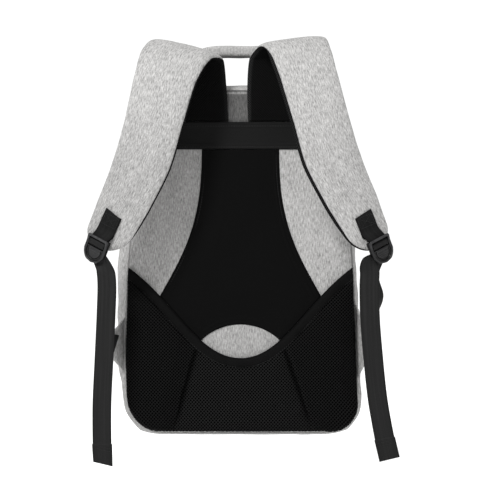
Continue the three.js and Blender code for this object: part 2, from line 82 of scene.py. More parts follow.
# How the soft bag hangs: how far its gusset stands out at each height, and how its lower end sags and leans
SIDE_BULGE = {
    -1: [
        (0, 0), (40, -1.5), (66, 2), (82, 6.5), (105, 8), (130, 8.8), (160, 9.5),
        (196, 11), (239, 12.5), (300, 10), (360, 6), (420, 2), (463, 0),
    ],
    1: [(0, 0), (40, 0), (66, 1), (150, 2), (239, 2.5), (300, 2), (420, 1), (463, 0)],
}
BULGE = Sizes(back=28, front=70, front_loss=0.45, crown=4, crown_from=400, crown_over=60)
LOW_LEAN = Sizes(shift=3.5, height=120, taper=0.014)
SAG = Sizes(height=70, shell=5.2, panel=4.2, pad=3.4, middle=0.2, middle_reach=90)

# Cloth simulation: pressure in each piece, and the most that it may move
SWELL = {"gusset": (1.2, 4), "front": (1.0, 4), "back": (2.5, 4), "pad": (2.5, 4), "strap": (3.0, 3)}

# Folds of each piece: height, wavelength, how much shorter they are upright, and seed
FOLDS = {
    "gusset": [(0.9, 75, 2.2, 3), (0.4, 28, 1, 4)],
    "front": [(1.1, 105, 1.8, 7), (0.35, 36, 1, 8)],
    "back": [(0.35, 40, 1, 11)],
    "yoke": [(0.25, 45, 1, 21)],
    "spine": [(0.3, 60, 1, 23)],
    "pad": [(0.5, 38, 1, 31), (0.25, 17, 1, 32)],
    "binding": [(0.35, 16, 1, 41)],
    "tab": [(0.5, 30, 1, 51)],
    "handle": [(0.3, 30, 1, 61)],
    "face": [(0.35, 55, 1, 71), (0.15, 21, 1, 72)],
    "lining": [(0.35, 55, 1, 81), (0.15, 21, 1, 82)],
}

# Rows and columns of the fine grids
FRONT_GRID = (150, 130)
BACK_GRID = (170, 130)
YOKE_GRID = (46, 210)
SPINE_GRID = (180, 141)
PAD_GRID = (200, 330)
BINDING_GRID = (260, 25)
TAB_GRID = (40, 70)
HANDLE_GRID = (121, 40)
# Rows and columns of the grids that swell
PANEL_COLS = 61
PAD_COARSE = (41, 101)
STRAP_COLS = 41

# Back panel and what is sewn on it
PANEL = Sizes(inset=8.6, thickness=10, round=6, edge=0.35, held=4, loose=2)
PANEL_FACE = -PANEL.thickness - GAP
YOKE = Sizes(low=376, high=412, thickness=2.5, inset=14)
YOKE_LIP = Sizes(height=5.2, spread=38, most_behind=4.0)
YOKE_EDGE_ROWS = [0.3, 0.7, 1.2]
YOKE_SEAM_ROWS = {"low": 7, "high": -8}
SPINE = Sizes(top_half=50.8, hip_half=105.7, thickness=2, upper=(50.8, 283), lower=(70, 246.7))
SPINE_CROWN = Sizes(height=1.2, over=30)
SPINE_EDGE = Sizes(most=40, low_share=0.8, under_pad=20, pad_from=2, pad_over=4)
SPINE_SEAM = Sizes(inset=4.3, off=0.2, skip=4)
HEMMED = Sizes(width=7.0, height=0.5, round=1.2, dip=0.35, dip_share=0.62, dip_width=0.9)
LENS = Sizes(half=51.5, top=146)
PAD_EDGE = [(0, 102), (55, 102), (85, 176), (147, 221)]
PAD_SEAM = 6
PAD = Sizes(inset=9.5, rim=5, crown=17, rim_radius=16, shoulder=0.45, roll=26, roll_edge=0.3)
PAD_CORNER = {-1: 0.6, 1: 2.3}
PAD_HOLE = Sizes(size=0.38, slope=0.2, depth=0.55)
CREASE = Sizes(share=0.34, low=93, depth=0.16, held=0.011)
PUCKER = Sizes(height=0.25, width=0.05, wave=2.6)
BINDING = Sizes(width=14, thickness=9, overlap=2.5)
# Round the binding's section: share of its width, and share of its thickness
BINDING_SECTION = [(0, 0), (0, 0.6), (0.2, 0.97), (0.55, 1), (0.9, 0.93), (1, 0.6), (1, 0)]
BINDING_SEAM = Sizes(share=0.84, groove=0.7, width=0.05, skip=3)
GATHERS = Sizes(height=0.18, wave=1.1, share=0.86, width=0.12)

# Shade on the back panel: along its rim, at the top between the straps, in the lens, and by the left strap
RIM_SHADE = Sizes(most=0.6, start=0.5, fade=1.6)
# At the top the shade eases along a line near the rim: a painted highlight on the seam there
TOP_SHADE = Sizes(most=0.74, rise=6, half=28, fade=34, light=0.45, light_at=4.2, light_width=1.3)
LENS_SHADE = Sizes(most=0.17, above=7, beside=8, fade=5)
STRAP_SHADOW = Sizes(most=0.13, beside=45, beside_fade=10, above=215, above_fade=60)
# Shade on the pad: its side lobes, its creases above the base, and its border
PAD_SHADE = Sizes(
    lobe=0.3, lobe_fade=0.06, crease=0.7, crease_width=0.014, crease_from=14, crease_fade=24, border=0.85
)

# Harness
STRAP = Sizes(face=8, lining=4.5, tip_radius=26, seat_steps=30, seat_from_end=4, full_from=0.75)
STRAP_SQUARE = {"face": 2.6, "lining": 3.2}
STRAP_STEPS = Sizes(run=150, tip=22, tip_share=0.045, under=7)
WEBBING = Sizes(half=12, thickness=1.5, ribs=30, rib_pitch=1.6, rib_dip=0.16, edge=0.05)
WEBBING_STEPS = {"adjuster": 360, "stub": 140}
LEAST_SHARE = 0.02
BUCKLE_LEAN = {"left": Sizes(x=0.44, z=-0.9), "right": Sizes(x=0.4, z=-0.915)}
STUB_SKEW = {"left": 0.24, "right": 0.16}
TAB = Sizes(seat=1.0, lift=-2.6, thickness=2.5, length=28, round=1.5)
TAB_HEM = Sizes(height=0.25, inset=3, width=2)
TAB_SEAM = Sizes(first=2, apex=36, side=4)
TAB_APEX = {
    "left": Sizes(seam=(155, 84), depth=-24, high=(167, 136), low=(175, 110), sewn=(-10.5, -5, 3)),
    "right": Sizes(seam=(175, 74), depth=-24, high=(167, 136), low=(171, 110), sewn=(-6, -1, 6)),
}
HANDLE = Sizes(
    reach=68, y=36, underside=501.5, grip=15.5, leg=5, half=13, square=0.42, taper=3, sink=1.0, round=0.6
)
HANDLE_SHADE = Sizes(most=0.7, start=0.8, fade=0.15)
OUTWARDS = {"left": -1, "right": 1}
# How far the lining shows past the face: at the inner edge, and at the outer edge
LINING_EDGE = {"left": (1.8, 0.2), "right": (4.2, 0.0)}
# Share of the lining's inner edge that goes out of sight round the tip, and where along the strap it shows
TIP_HIDES = {"left": 1.0, "right": 0.4}
LINING_SHOWS = Sizes(start=0.36, over=0.14, hides=0.92, hides_over=0.05)
# How much lighter the lining is painted along its edges, as a painted highlight, and from which share of its
# width
LINING_EDGE_HIGHLIGHT = {"left": 1.0, "right": 2.4}
HIGHLIGHT_EDGE = Sizes(share=0.84, over=0.08)
# Darkening of the straps towards the tip, from a height down
STRAP_SHADE = {"left": 0.14, "right": 0.06}
STRAP_FADE = Sizes(height=470, over=150)

# Shoulder straps from root to tip: inner edge, outer edge, and share of the full thickness
STRAP_ROWS = {
    "left": [
        ((-16, -14, 412.5), (-79, -14, 412.5), 0.42),
        ((-18.5, -19, 459), (-92, -19, 464), 0.85),
        ((-21.5, -30, 489.5), (-106, -30, 498), 1),
        ((-31, -56, 491.5), (-115.5, -54, 511.5), 1),
        ((-41, -82, 483), (-126, -78, 497), 1),
        ((-56, -99, 456), (-132, -94, 470), 1),
        ((-73, -109, 399), (-145, -103, 408), 1),
        ((-89, -110, 345), (-159, -101, 360), 0.9),
        ((-116, -105, 292), (-180, -93, 306), 0.65),
        ((-150, -97, 236), (-201, -85, 254), 0.6),
    ],
    "right": [
        ((10, -14, 412.5), (73, -14, 412.5), 0.42),
        ((9, -19, 461), (83, -19, 464), 0.85),
        ((12, -30, 494), (97, -30, 501), 0.9),
        ((26, -56, 506), (109.5, -54, 515.5), 0.8),
        ((39, -82, 493), (115, -78, 500), 0.9),
        ((50, -99, 464), (121, -94, 474), 1),
        ((68, -109, 403), (137, -103, 412), 1),
        ((83, -110, 350), (152, -101, 364), 0.9),
        ((111, -105, 297), (173, -93, 313), 0.65),
        ((150, -97, 237), (194, -85, 255), 0.6),
    ],
}

# Seat of the stub on the strap's tip, and the buckle's rim (x, z), as they are seen from the wearer's side
STUB_SEAT = {"left": (-178.5, 247), "right": (172.5, 246)}
BUCKLE_RIM = {"left": (-176.5, 258.8), "right": (172.7, 258.3)}
# The pulled buckle turns out of the strap's plane: its directions outwards and along, for the right side
BUCKLE_ACROSS = (0.80, 0.42, 0.43)
BUCKLE_ALONG = (0.36, 0.20, -0.91)
BUCKLE_LIFT = 3.4

# Buckle in its own frame, from the middle of its rim: across, up the strap, and off the strap
BUCKLE_SIDE = Sizes(half=16.0, clear=12.3)
BUCKLE_RAIL = Sizes(low=(-19, -3.4), high=(0.6, 3.6))
BUCKLE_POST = Sizes(top=(0.4, 4.9), foot=(-8, 2.6), radius=1.55)
BUCKLE_CROSS = Sizes(low=(-13.6, -9.8, -1), high=(13.6, -4.7, 2.1))
# Its rounded lower end, and the bead that runs inside that edge
BUCKLE_END = [(15.4, -15), (15.3, -20), (13, -25), (8.5, -29.5), (0, -31.8)]
BUCKLE_END_STEPS = 17
END_BEAD = Sizes(shrink=(0.93, 0.97), off=1.7, radius=1.6)
# Thin lip down to that end, and the thumb plate raised on it: edge, underside and top
LIP = Sizes(edge=[(11.2, -13.8), (11.6, -12.8), (14.4, -12.6)], low=-0.8, high=0.4)
THUMB = Sizes(
    edge=[(9.6, -13.4), (9.4, -18.6), (8.2, -22.2), (5.2, -25.4), (1.8, -26.6)], low=-0.6, high=2.1
)
# Round bars across it: half length, place up the strap, place off it, radius
BUCKLE_BARS = {
    "rim": (14.6, 0.4, 4.9, 1.7),
    "stub_bar": (14, -0.6, 0, 1.3),
    "thumb_edge": (9.4, -14.4, 1.3, 2.0),
    "lip_edge": (13, -13.9, 0.2, 1.4),
    "rib_1": (8.2, -18.2, 2.0, 0.9),
    "rib_2": (7.4, -20.6, 2.0, 0.9),
    "rib_3": (5.8, -23, 2.0, 0.9),
    "rib_4": (3.4, -25.2, 2.0, 0.9),
}
BUCKLE_BEVEL = 0.8
BUCKLE_VOXEL = 0.5
# Painted shade in the recesses low on the buckle, and how much lighter its rim is painted, as a painted
# highlight
RECESS_SHADE = Sizes(most=0.85, off=1.5, fade=0.8)
RIM_HIGHLIGHT = Sizes(most=2.0, off=3.2, fade=1.6)

# Stub: sewn down on the strap (along, off), then looped round the buckle's bar, then back.
# The loop has along, off, how far it has turned with the buckle, and its shift towards the bag's middle
STUB_TOP = [(-48, 1.85), (-36, 1.85), (-25, 1.9)]
STUB_LOOP = [
    (-7, -0.6, 0.3, 2.4), (-2.2, 1.6, 0.85, 0.8), (0.4, 2.35, 1, 0), (2.2, 1.6, 1, 0),
    (2.75, 0, 1, 0), (2.2, -1.6, 1, 0), (0.4, -2.3, 1, 0), (-4, -4.2, 0.5, 0.8),
]
STUB_BACK = [(-19, 0), (-28, 0), (-46, 0)]
# Box of stitches on the stub, with its diagonals
STUB_BOX = Sizes(top=-44.5, low=-31, half=9.5, off=2.65, steps=12)

# Adjuster where it threads the buckle: along, off, shift towards the bag's middle
THREADING = [
    (24, -3.6, 6), (16, -3, 3), (9, -2.4, 1), (5, -1.6, 0), (3.5, 0.2, 0), (3.7, 2, 0), (4.9, 2.9, 0),
    (7, 3.1, 0), (9.2, 2.9, 0), (10.6, 1.6, 0), (11, 0, 0), (12, -1.3, 0), (15, -1.9, 1),
]
# Shoulder of the tail behind the buckle: place (x, z), how far behind, direction across
SHOULDER = {
    "left": [((-177, 238), -3.2, (-0.85, 0.45, 0.29)), ((-171.5, 227), -5, (-0.9, 0.38, 0.2))],
    "right": [((165.5, 238), -3.2, (0.85, 0.45, 0.29)), ((162.3, 228), -5, (0.91, 0.37, 0.16))],
}

# Load run up to the buckle, and free tail down to the hem: point, and direction across the webbing
LOAD_RUN = {
    "left": [
        ((-172, -46, 149), (-0.6, 0.15, 0.78)),
        ((-171.5, -70, 179), (-0.85, 0.1, 0.5)),
        ((-170, -88, 209), (-0.9, 0.05, 0.4)),
    ],
    "right": [
        ((171, -46, 149), (0.45, 0.15, 0.88)),
        ((173, -70, 180), (0.85, 0.1, 0.5)),
        ((165, -87, 209), (0.9, 0.05, 0.4)),
    ],
}
TAIL = {
    "left": [
        ((-169, -98.5, 215), (-0.995, 0, 0.08)),
        ((-168, -98, 200), (-1, 0, 0.05)),
        ((-169, -97, 166), (-1, 0, 0)),
        ((-172, -93, 108), (-1, 0, 0)),
        ((-175, -90, 47), (-1, 0, 0)),
        ((-175, -88, -1), (-1, 0, 0)),
        ((-174, -87, -27), (-1, 0, 0.24)),
    ],
    "right": [
        ((163.5, -98.5, 216), (0.995, 0, 0.06)),
        ((163, -98, 199), (1, 0, 0.05)),
        ((164, -97, 158), (1, 0, 0)),
        ((167.8, -93, 113), (1, 0, 0.1)),
        ((174.3, -90, 54), (1, 0, 0.14)),
        ((183, -88, 6), (1, 0, 0.18)),
        ((189.5, -87, -21), (1, 0, 0.24)),
    ],
}
TAIL_WIDER = {"left": 0.0, "right": 0.5}
HEM = Sizes(share=2.1, extra=0.8, step=0.04, seams=(0.16, 0.3), seam_half=10.5, seam_steps=14)

# One stitch: place along its half length and share of its radius, at each ring of points
STITCH_RINGS = [(-1, 0.25), (-0.55, 0.9), (0, 1.0), (0.55, 0.9), (1, 0.25)]
STITCH = Sizes(sides=6, half_share=0.39, dip=0.9, slope_reach=0.5)

# Floor, light and camera
FLOOR = Sizes(height=-0.605, reach=30, tone=0.95, roughness=0.9, glow=0.2)
SKY_STRENGTH = 1.05
KEY = Sizes(place=(-0.72, -1.98, 1.28), aim=(0, 0, -0.25), size=0.5, power=76)
CAMERA = Sizes(place=(0.0125, -2.236, -0.2466), lens=120, sensor=36)


# Curves and grids

def unit(vectors):
    vectors = np.asarray(vectors, float)
    return vectors / np.maximum(np.linalg.norm(vectors, axis=-1, keepdims=True), LEAST_LENGTH)


def spline(points, shares):
    """Centripetal Catmull-Rom curve through points, at shares of its whole row of points."""
    points = np.asarray(points, float)
    ends = 2 * points[0] - points[1], 2 * points[-1] - points[-2]
    padded = np.vstack([ends[:1], points, ends[1:]])
    place = np.clip(np.asarray(shares, float), 0, 1) * (len(points) - 1)
    index = np.minimum(place.astype(int), len(points) - 2)
    t = (place - index)[:, None]
    p0, p1, p2, p3 = (padded[index + k] for k in range(4))
    d0, d1, d2 = (
        np.maximum(np.linalg.norm(b - a, axis=1, keepdims=True), LEAST_STEP) ** 0.5
        for a, b in ((p0, p1), (p1, p2), (p2, p3))
    )
    m1 = ((p1 - p0) / d0 - (p2 - p0) / (d0 + d1) + (p2 - p1) / d1) * d1
    m2 = ((p2 - p1) / d1 - (p3 - p1) / (d1 + d2) + (p3 - p2) / d2) * d1
    start = (2 * t**3 - 3 * t**2 + 1) * p1 + (t**3 - 2 * t**2 + t) * m1
    return start + (3 * t**2 - 2 * t**3) * p2 + (t**3 - t**2) * m2


def bezier(points, shares):
    """Straight or cubic Bezier curve at shares."""
    t = np.asarray(shares, float)[:, None]
    row = np.asarray(points, float)[:, None, :]
    while len(row) > 1:
        row = row[:-1] * (1 - t) + row[1:] * t
    return row[0]


def refine(grid, rows, cols, wrap=False, margin=3):
    """The same surface on a grid of another size."""
    count = grid.shape[1]
    shares = np.linspace(0, 1, cols)
    if wrap:
        grid = np.concatenate([grid[:, -margin:], grid, grid[:, :margin]], axis=1)
        shares = (margin + np.arange(cols) * count / cols) / (count + 2 * margin - 1)
    tall = np.stack([spline(grid[:, j], np.linspace(0, 1, rows)) for j in range(grid.shape[1])], axis=1)
    return np.stack([spline(row, shares) for row in tall])


def refine_values(values, rows, cols):
    """Values at the points of a grid, on a grid of another size."""
    return refine(values[..., None].repeat(3, -1).astype(float), rows, cols)[..., :1]


def slopes(grid, axis, wrap=False):
    if wrap:
        return np.roll(grid, -1, axis=axis) - np.roll(grid, 1, axis=axis)
    return np.gradient(grid, axis=axis)


def grid_normals(grid, wrap=False):
    return unit(np.cross(slopes(grid, 1, wrap), slopes(grid, 0)))


def run_lengths(points, axis=0):
    steps = np.linalg.norm(np.diff(points, axis=axis), axis=-1)
    start = np.zeros_like(np.take(steps, [0], axis=axis))
    return np.concatenate([start, np.cumsum(steps, axis=axis)], axis=axis)


def ripple(points, wavelength, seed, waves=9, shortest=0.7, longest=1.6):
    """Smooth uneven waves over points, about 1 high."""
    rng = np.random.default_rng(seed)
    directions = unit(rng.normal(size=(waves, 3)))
    turns = directions / (wavelength * rng.uniform(shortest, longest, size=(waves, 1)))
    phases = rng.uniform(0, 2 * math.pi, waves)
    return np.sin(2 * math.pi * (points @ turns.T) + phases).sum(-1) / math.sqrt(waves)


def folds(name, points):
    """Folds of a piece at its points."""
    return sum(
        height * ripple(points * (1, 1, upright), wavelength, seed)
        for height, wavelength, upright, seed in FOLDS[name]
    )


def bump(distance, width):
    return np.exp(-((distance / width) ** 2))


def smooth(share):
    share = np.clip(share, 0, 1)
    return share * share * (3 - 2 * share)


def arch_over(count):
    """Rises from 0 to 1 and falls back, over a count of points."""
    return np.sin(np.linspace(0, math.pi, count))


def grid_faces(rows, cols, start=0, wrap=False):
    low = np.arange(rows - 1)[:, None] * cols + start
    here = np.arange(cols if wrap else cols - 1)
    a = low + here
    b = low + (here + 1) % cols
    return np.stack([a, b, b + cols, a + cols], axis=-1).reshape(-1, 4).tolist()


def flat_places(across, along):
    """Place of each grid point in the flat cloth, from distances across and along it."""
    return np.stack(np.broadcast_arrays(across, along), axis=-1)


def border_of(rows, cols):
    """Places of a grid's border points, once round."""
    index = np.arange(rows * cols).reshape(rows, cols)
    return np.concatenate([index[0, :-1], index[:-1, -1], index[-1, :0:-1], index[:0:-1, 0]])


def rim_faces(border, foot):
    """Faces between a closed row of points and the row behind it."""
    return np.stack([border, np.roll(border, -1), np.roll(foot, -1), foot], axis=-1).tolist()


def capped(front, depth, flat, shade):
    """Closed skin of a grid over a flat back at a depth, and its shade."""
    rows, cols = front.shape[:2]
    border = border_of(rows, cols)
    foot = np.arange(len(border)) + rows * cols
    low = foot[1:cols - 1]
    high = foot[rows + cols - 1:rows + 2 * cols - 3][::-1]
    strips = np.stack([low[:-1], low[1:], high[1:], high[:-1]], axis=-1).tolist()
    right = foot[cols - 2:rows + cols].tolist()
    left = [*foot[:2].tolist(), *foot[rows + 2 * cols - 4:].tolist()]
    base = front.reshape(-1, 3)[border] * (1, 0, 1) + (0, depth, 0)
    points = np.concatenate([front.reshape(-1, 3), base])
    places = np.concatenate([flat.reshape(-1, 2), flat.reshape(-1, 2)[border]])
    shades = np.concatenate([shade.ravel(), shade.ravel()[border]])
    faces = grid_faces(rows, cols) + rim_faces(border, foot) + strips + [right, left]
    return (points, faces, places), shades


def plate(front, back, flat, wrap=False):
    """Closed skin of two grids of one size, joined along their borders: points, faces, flat places."""
    rows, cols = front.shape[:2]
    count = rows * cols
    borders = [np.arange(cols), np.arange(cols) + count - cols] if wrap else [border_of(rows, cols)]
    faces = grid_faces(rows, cols, wrap=wrap) + grid_faces(rows, cols, count, wrap)
    for border in borders:
        faces += rim_faces(border, border + count)
    points = np.concatenate([front.reshape(-1, 3), back.reshape(-1, 3)])
    return points, faces, np.concatenate([flat.reshape(-1, 2)] * 2)


def tube(rings, flat):
    """Closed skin round rings of points, with a point in the middle of each end."""
    rows, cols = rings.shape[:2]
    count = rows * cols
    here = np.arange(cols)
    after = (here + 1) % cols
    last = count - cols
    caps = [(b, a, count) for a, b in zip(here.tolist(), after.tolist())]
    caps += [(last + a, last + b, count + 1) for a, b in zip(here.tolist(), after.tolist())]
    points = np.concatenate([rings.reshape(-1, 3), rings[[0, -1]].mean(1)])
    places = np.concatenate([flat.reshape(-1, 2), flat[[0, -1]].mean(1)])
    return points, grid_faces(rows, cols, wrap=True) + caps, places


def joined(*skins):
    """Several skins as one."""
    points, faces, places = [], [], []
    for skin in skins:
        start = sum(len(p) for p in points)
        points.append(skin[0])
        faces += [[i + start for i in face] for face in skin[1]]
        places.append(skin[2])
    return np.concatenate(points), faces, np.concatenate(places)


# Blender meshes

def in_row_frame(points):
    return (points - ROW_ORIGIN) * MM


def mesh_points(mesh):
    points = np.empty(len(mesh.vertices) * 3, np.float32)
    mesh.vertices.foreach_get("co", points)
    return points.reshape(-1, 3)


def add_object(name, data):
    made = bpy.data.objects.new(name, data)
    bpy.context.scene.collection.objects.link(made)
    return made


def finish_mesh(mesh, material, shade):
    """Smooth faces, a material and, if there is one, the shade that the material reads."""
    if shade is not None:
        values = np.asarray(shade, np.float32).ravel()
        mesh.attributes.new("shade", "FLOAT", "POINT").data.foreach_set("value", values)
    mesh.polygons.foreach_set("use_smooth", [True] * len(mesh.polygons))
    mesh.materials.append(material)


def add_mesh(name, skin, material, shade=None):
    points, faces, places = skin
    mesh = bpy.data.meshes.new(name)
    mesh.from_pydata(in_row_frame(points).tolist(), [], faces)
    flat = np.zeros((len(points), 3), np.float32)
    flat[:, :2] = places * MM
    mesh.attributes.new("flat", "FLOAT_VECTOR", "POINT").data.foreach_set("vector", flat.ravel())
    shape = bmesh.new()
    shape.from_mesh(mesh)
    bmesh.ops.recalc_face_normals(shape, faces=shape.faces)
    shape.to_mesh(mesh)
    shape.free()
    finish_mesh(mesh, material, shade)
    return add_object(name, mesh)


def swell(grid, held, pressure, most, wrap=False, frames=16):
    """The grid as cloth under pressure, held where the mask says, with its movement capped."""
    rows, cols = grid.shape[:2]
    start = in_row_frame(grid).reshape(-1, 3)
    mesh = bpy.data.meshes.new("cloth_trial")
    mesh.from_pydata(start.tolist(), [], grid_faces(rows, cols, wrap=wrap))
    trial = add_object("cloth_trial", mesh)
    scene = bpy.context.scene
    pins = trial.vertex_groups.new(name="held")
    pins.add(np.flatnonzero(held.ravel()).tolist(), 1.0, "REPLACE")
    cloth = trial.modifiers.new("cloth", "CLOTH")
    settings = cloth.settings
    settings.quality = 5
    settings.mass = 0.3
    settings.tension_stiffness = 15
    settings.compression_stiffness = 15
    settings.bending_stiffness = 0.5
    settings.use_pressure = True
    settings.uniform_pressure_force = pressure
    settings.vertex_group_mass = "held"
    settings.effector_weights.gravity = 0
    cloth.collision_settings.use_collision = False
    cloth.point_cache.frame_start = 1
    cloth.point_cache.frame_end = frames
    for number in range(1, frames + 1):
        scene.frame_set(number)
    after = mesh_points(trial.evaluated_get(bpy.context.evaluated_depsgraph_get()).to_mesh())
    scene.frame_set(1)
    bpy.data.objects.remove(trial)
    bpy.data.meshes.remove(mesh)
    move = (after - start) / MM
    length = np.linalg.norm(move, axis=1, keepdims=True)
    move *= most * np.tanh(length / most) / np.maximum(length, LEAST_LENGTH)
    return grid + move.reshape(grid.shape)


# Materials

def node(tree, kind, sockets=None, **properties):
    """A node with its properties set, and each named socket given a value or a link."""
    made = tree.nodes.new("ShaderNode" + kind)
    for key, value in properties.items():
        setattr(made, key, value)
    for key, value in (sockets or {}).items():
        if isinstance(value, bpy.types.NodeSocket):
            tree.links.new(value, made.inputs[key])
        else:
            made.inputs[key].default_value = value
    return made


def math_node(tree, operation, a, b=0.0):
    return node(tree, "Math", {0: a, 1: b}, operation=operation).outputs[0]


def weighted(tree, *parts):
    """Sum of values, each times its weight."""
    whole = None
    for value, weight in parts:
        part = math_node(tree, "MULTIPLY", value, weight)
        whole = part if whole is None else math_node(tree, "ADD", whole, part)
    return whole


def map_range(tree, value, span, to):
    """A value within a span, taken to another span."""
    return node(tree, "MapRange", {"Value": value, 1: span[0], 2: span[1], 3: to[0], 4: to[1]}).outputs[0]


def scaled(tree, colour, scale):
    return node(tree, "VectorMath", {0: colour, "Scale": scale}, operation="SCALE").outputs[0]


def shaded(tree, colour):
    """A colour, darker where the mesh's painted shade says so, and lighter where that shade is below zero, as
    a painted highlight.
    """
    shade = node(tree, "Attribute", attribute_name="shade").outputs["Fac"]
    return scaled(tree, colour, math_node(tree, "SUBTRACT", 1.0, shade))


def new_material(name, **sockets):
    material = bpy.data.materials.new(name)
    material.use_nodes = True
    tree = material.node_tree
    shader = tree.nodes["Principled BSDF"]
    for key, value in sockets.items():
        shader.inputs[key.replace("_", " ")].default_value = value
    return material, tree, shader


def flat_place(tree):
    return node(tree, "Attribute", attribute_name="flat").outputs["Vector"]


def fibres(tree, across, along, detail=2.0):
    """Noise on the flat cloth, drawn out to fibres of a width and a length in millimetres."""
    scale = (1 / (across * MM), 1 / (along * MM), 1)
    place = node(tree, "Mapping", {"Vector": flat_place(tree), "Scale": scale}).outputs[0]
    return node(tree, "TexNoise", {"Vector": place, "Scale": 1.0, "Detail": detail}).outputs["Fac"]


def grain(tree, scale, detail=2.0):
    """Noise through the whole object."""
    place = node(tree, "TexCoord").outputs["Object"]
    return node(tree, "TexNoise", {"Vector": place, "Scale": scale, "Detail": detail}).outputs["Fac"]


def ramp(tree, value, stops):
    """Greys, or colours, at places from 0 to 1."""
    made = node(tree, "ValToRGB", {"Fac": value})
    elements = made.color_ramp.elements
    while len(elements) < len(stops):
        elements.new(0.5)
    for element, (place, colour) in zip(elements, stops):
        element.position = place
        element.color = (*colour, 1) if isinstance(colour, tuple) else (colour, colour, colour, 1)
    return made.outputs["Color"]


def paint(tree, shader, colour):
    tree.links.new(colour, shader.inputs["Base Color"])


def relief(tree, shader, height, depth, strength):
    """Bump of a depth in millimetres."""
    made = node(tree, "Bump", {"Height": height, "Distance": depth * MM, "Strength": strength})
    tree.links.new(made.outputs[0], shader.inputs["Normal"])


def heather_material(name):
    """Grey melange: light and dark fibres spun together, streaked along the warp."""
    material, tree, shader = new_material(
        name, Roughness=0.95, Sheen_Weight=0.08, Sheen_Roughness=0.5, Specular_IOR_Level=0.1
    )
    warp = fibres(tree, across=0.95, along=8)
    weft = fibres(tree, across=3.6, along=0.8)
    speck = fibres(tree, across=1.5, along=4.2, detail=4.0)
    patch = fibres(tree, across=16, along=40, detail=1.0)
    yarn = weighted(tree, (warp, 0.46), (weft, 0.16), (speck, 0.3), (patch, 0.08))
    tones = [(0.36, 0.112), (0.444, 0.188), (0.5, 0.241), (0.556, 0.29), (0.65, 0.368)]
    warm = [(place, (tone, tone * 0.99, tone * 0.975)) for place, tone in tones]
    paint(tree, shader, shaded(tree, ramp(tree, yarn, warm)))
    relief(tree, shader, yarn, depth=1.4, strength=0.6)
    return material


def black_cloth_material(name, light):
    """Smooth black knit with fine wales."""
    material, tree, shader = new_material(
        name, Roughness=0.7, Sheen_Weight=0.004, Sheen_Roughness=0.4, Specular_IOR_Level=0.025
    )
    wales = fibres(tree, across=0.5, along=2.2)
    paint(tree, shader, ramp(tree, wales, [(0.3, 0.0011 * light), (0.7, 0.0022 * light)]))
    relief(tree, shader, wales, depth=0.25, strength=0.5)
    return material


def lattice_hole(tree, pitch):
    """1 in the holes of a diamond lattice and 0 on its threads."""
    parts = node(tree, "SeparateXYZ", {0: flat_place(tree)})
    sides = []
    for operation in ("ADD", "SUBTRACT"):
        turned = math_node(tree, operation, parts.outputs[0], parts.outputs[1])
        cell = math_node(tree, "FRACT", math_node(tree, "DIVIDE", turned, pitch * MM))
        sides.append(math_node(tree, "ABSOLUTE", math_node(tree, "SUBTRACT", cell, 0.5)))
    return map_range(tree, math_node(tree, "MAXIMUM", *sides), span=(0.39, 0.26), to=(0.0, 1.0))


def air_mesh_material(name, pitch, thread_tone):
    """Black spacer mesh: soft threads round small diamond holes."""
    material, tree, shader = new_material(name, Roughness=0.75, Specular_IOR_Level=0.011)
    solid = math_node(tree, "SUBTRACT", 1.0, lattice_hole(tree, pitch))
    thread = fibres(tree, across=0.35, along=0.5)
    lit = math_node(tree, "MULTIPLY", solid, math_node(tree, "ADD", thread, 0.5))
    paint(tree, shader, shaded(tree, ramp(tree, lit, [(0.0, 0.0001), (0.55, 0.0004), (1.0, thread_tone)])))
    relief(tree, shader, lit, depth=0.8, strength=0.8)
    return material


def wave(tree, value, pitch):
    """Sine of a length, with a pitch in millimetres."""
    return math_node(tree, "SINE", math_node(tree, "MULTIPLY", value, 2 * math.pi / (pitch * MM)))


def webbing_material(name, light, gloss):
    """Black woven tape: ribs along it, crossed by fine picks."""
    material, tree, shader = new_material(
        name, Roughness=0.6, Sheen_Weight=0.02 * light, Sheen_Roughness=0.4, Specular_IOR_Level=gloss
    )
    parts = node(tree, "SeparateXYZ", {0: flat_place(tree)})
    ribs = wave(tree, parts.outputs[0], WEBBING.rib_pitch)
    picks = wave(tree, parts.outputs[1], 0.9)
    weave = math_node(tree, "MULTIPLY", ribs, picks)
    yarn = fibres(tree, across=0.4, along=1.5)
    height = math_node(tree, "ADD", math_node(tree, "MULTIPLY", weave, 0.25), yarn)
    from_middle = math_node(tree, "ABSOLUTE", parts.outputs[0])
    edge = map_range(tree, from_middle, span=(8 * MM, 12 * MM), to=(1.0, 0.6))
    streaks = fibres(tree, across=2.6, along=160, detail=1.0)
    wear = map_range(tree, streaks, span=(0.3, 0.7), to=(0.65, 1.35))
    tone = ramp(tree, height, [(0.2, 0.0028 * light), (0.8, 0.0092 * light)])
    paint(tree, shader, scaled(tree, scaled(tree, tone, edge), wear))
    relief(tree, shader, height, depth=0.3, strength=0.6)
    return material


def plastic_material(name):
    """Black moulded plastic, satin, with a faint grain and rubbed tone, under the painted shade and painted
    highlight that its mesh carries.
    """
    material, tree, shader = new_material(name, Specular_IOR_Level=0.22)
    rub = grain(tree, 160.0, detail=3.0)
    tone = ramp(tree, rub, [(0.3, (0.003, 0.003, 0.0032)), (0.75, (0.008, 0.008, 0.0084))])
    paint(tree, shader, shaded(tree, tone))
    rough = map_range(tree, rub, span=(0.0, 1.0), to=(0.34, 0.48))
    tree.links.new(rough, shader.inputs["Roughness"])
    relief(tree, shader, grain(tree, 2600.0), depth=0.05, strength=0.4)
    return material


def thread_material(name, dark, light):
    material, tree, shader = new_material(name, Roughness=0.7, Specular_IOR_Level=0.15)
    paint(tree, shader, ramp(tree, grain(tree, 1800.0), [(0.3, dark), (0.7, light)]))
    return material


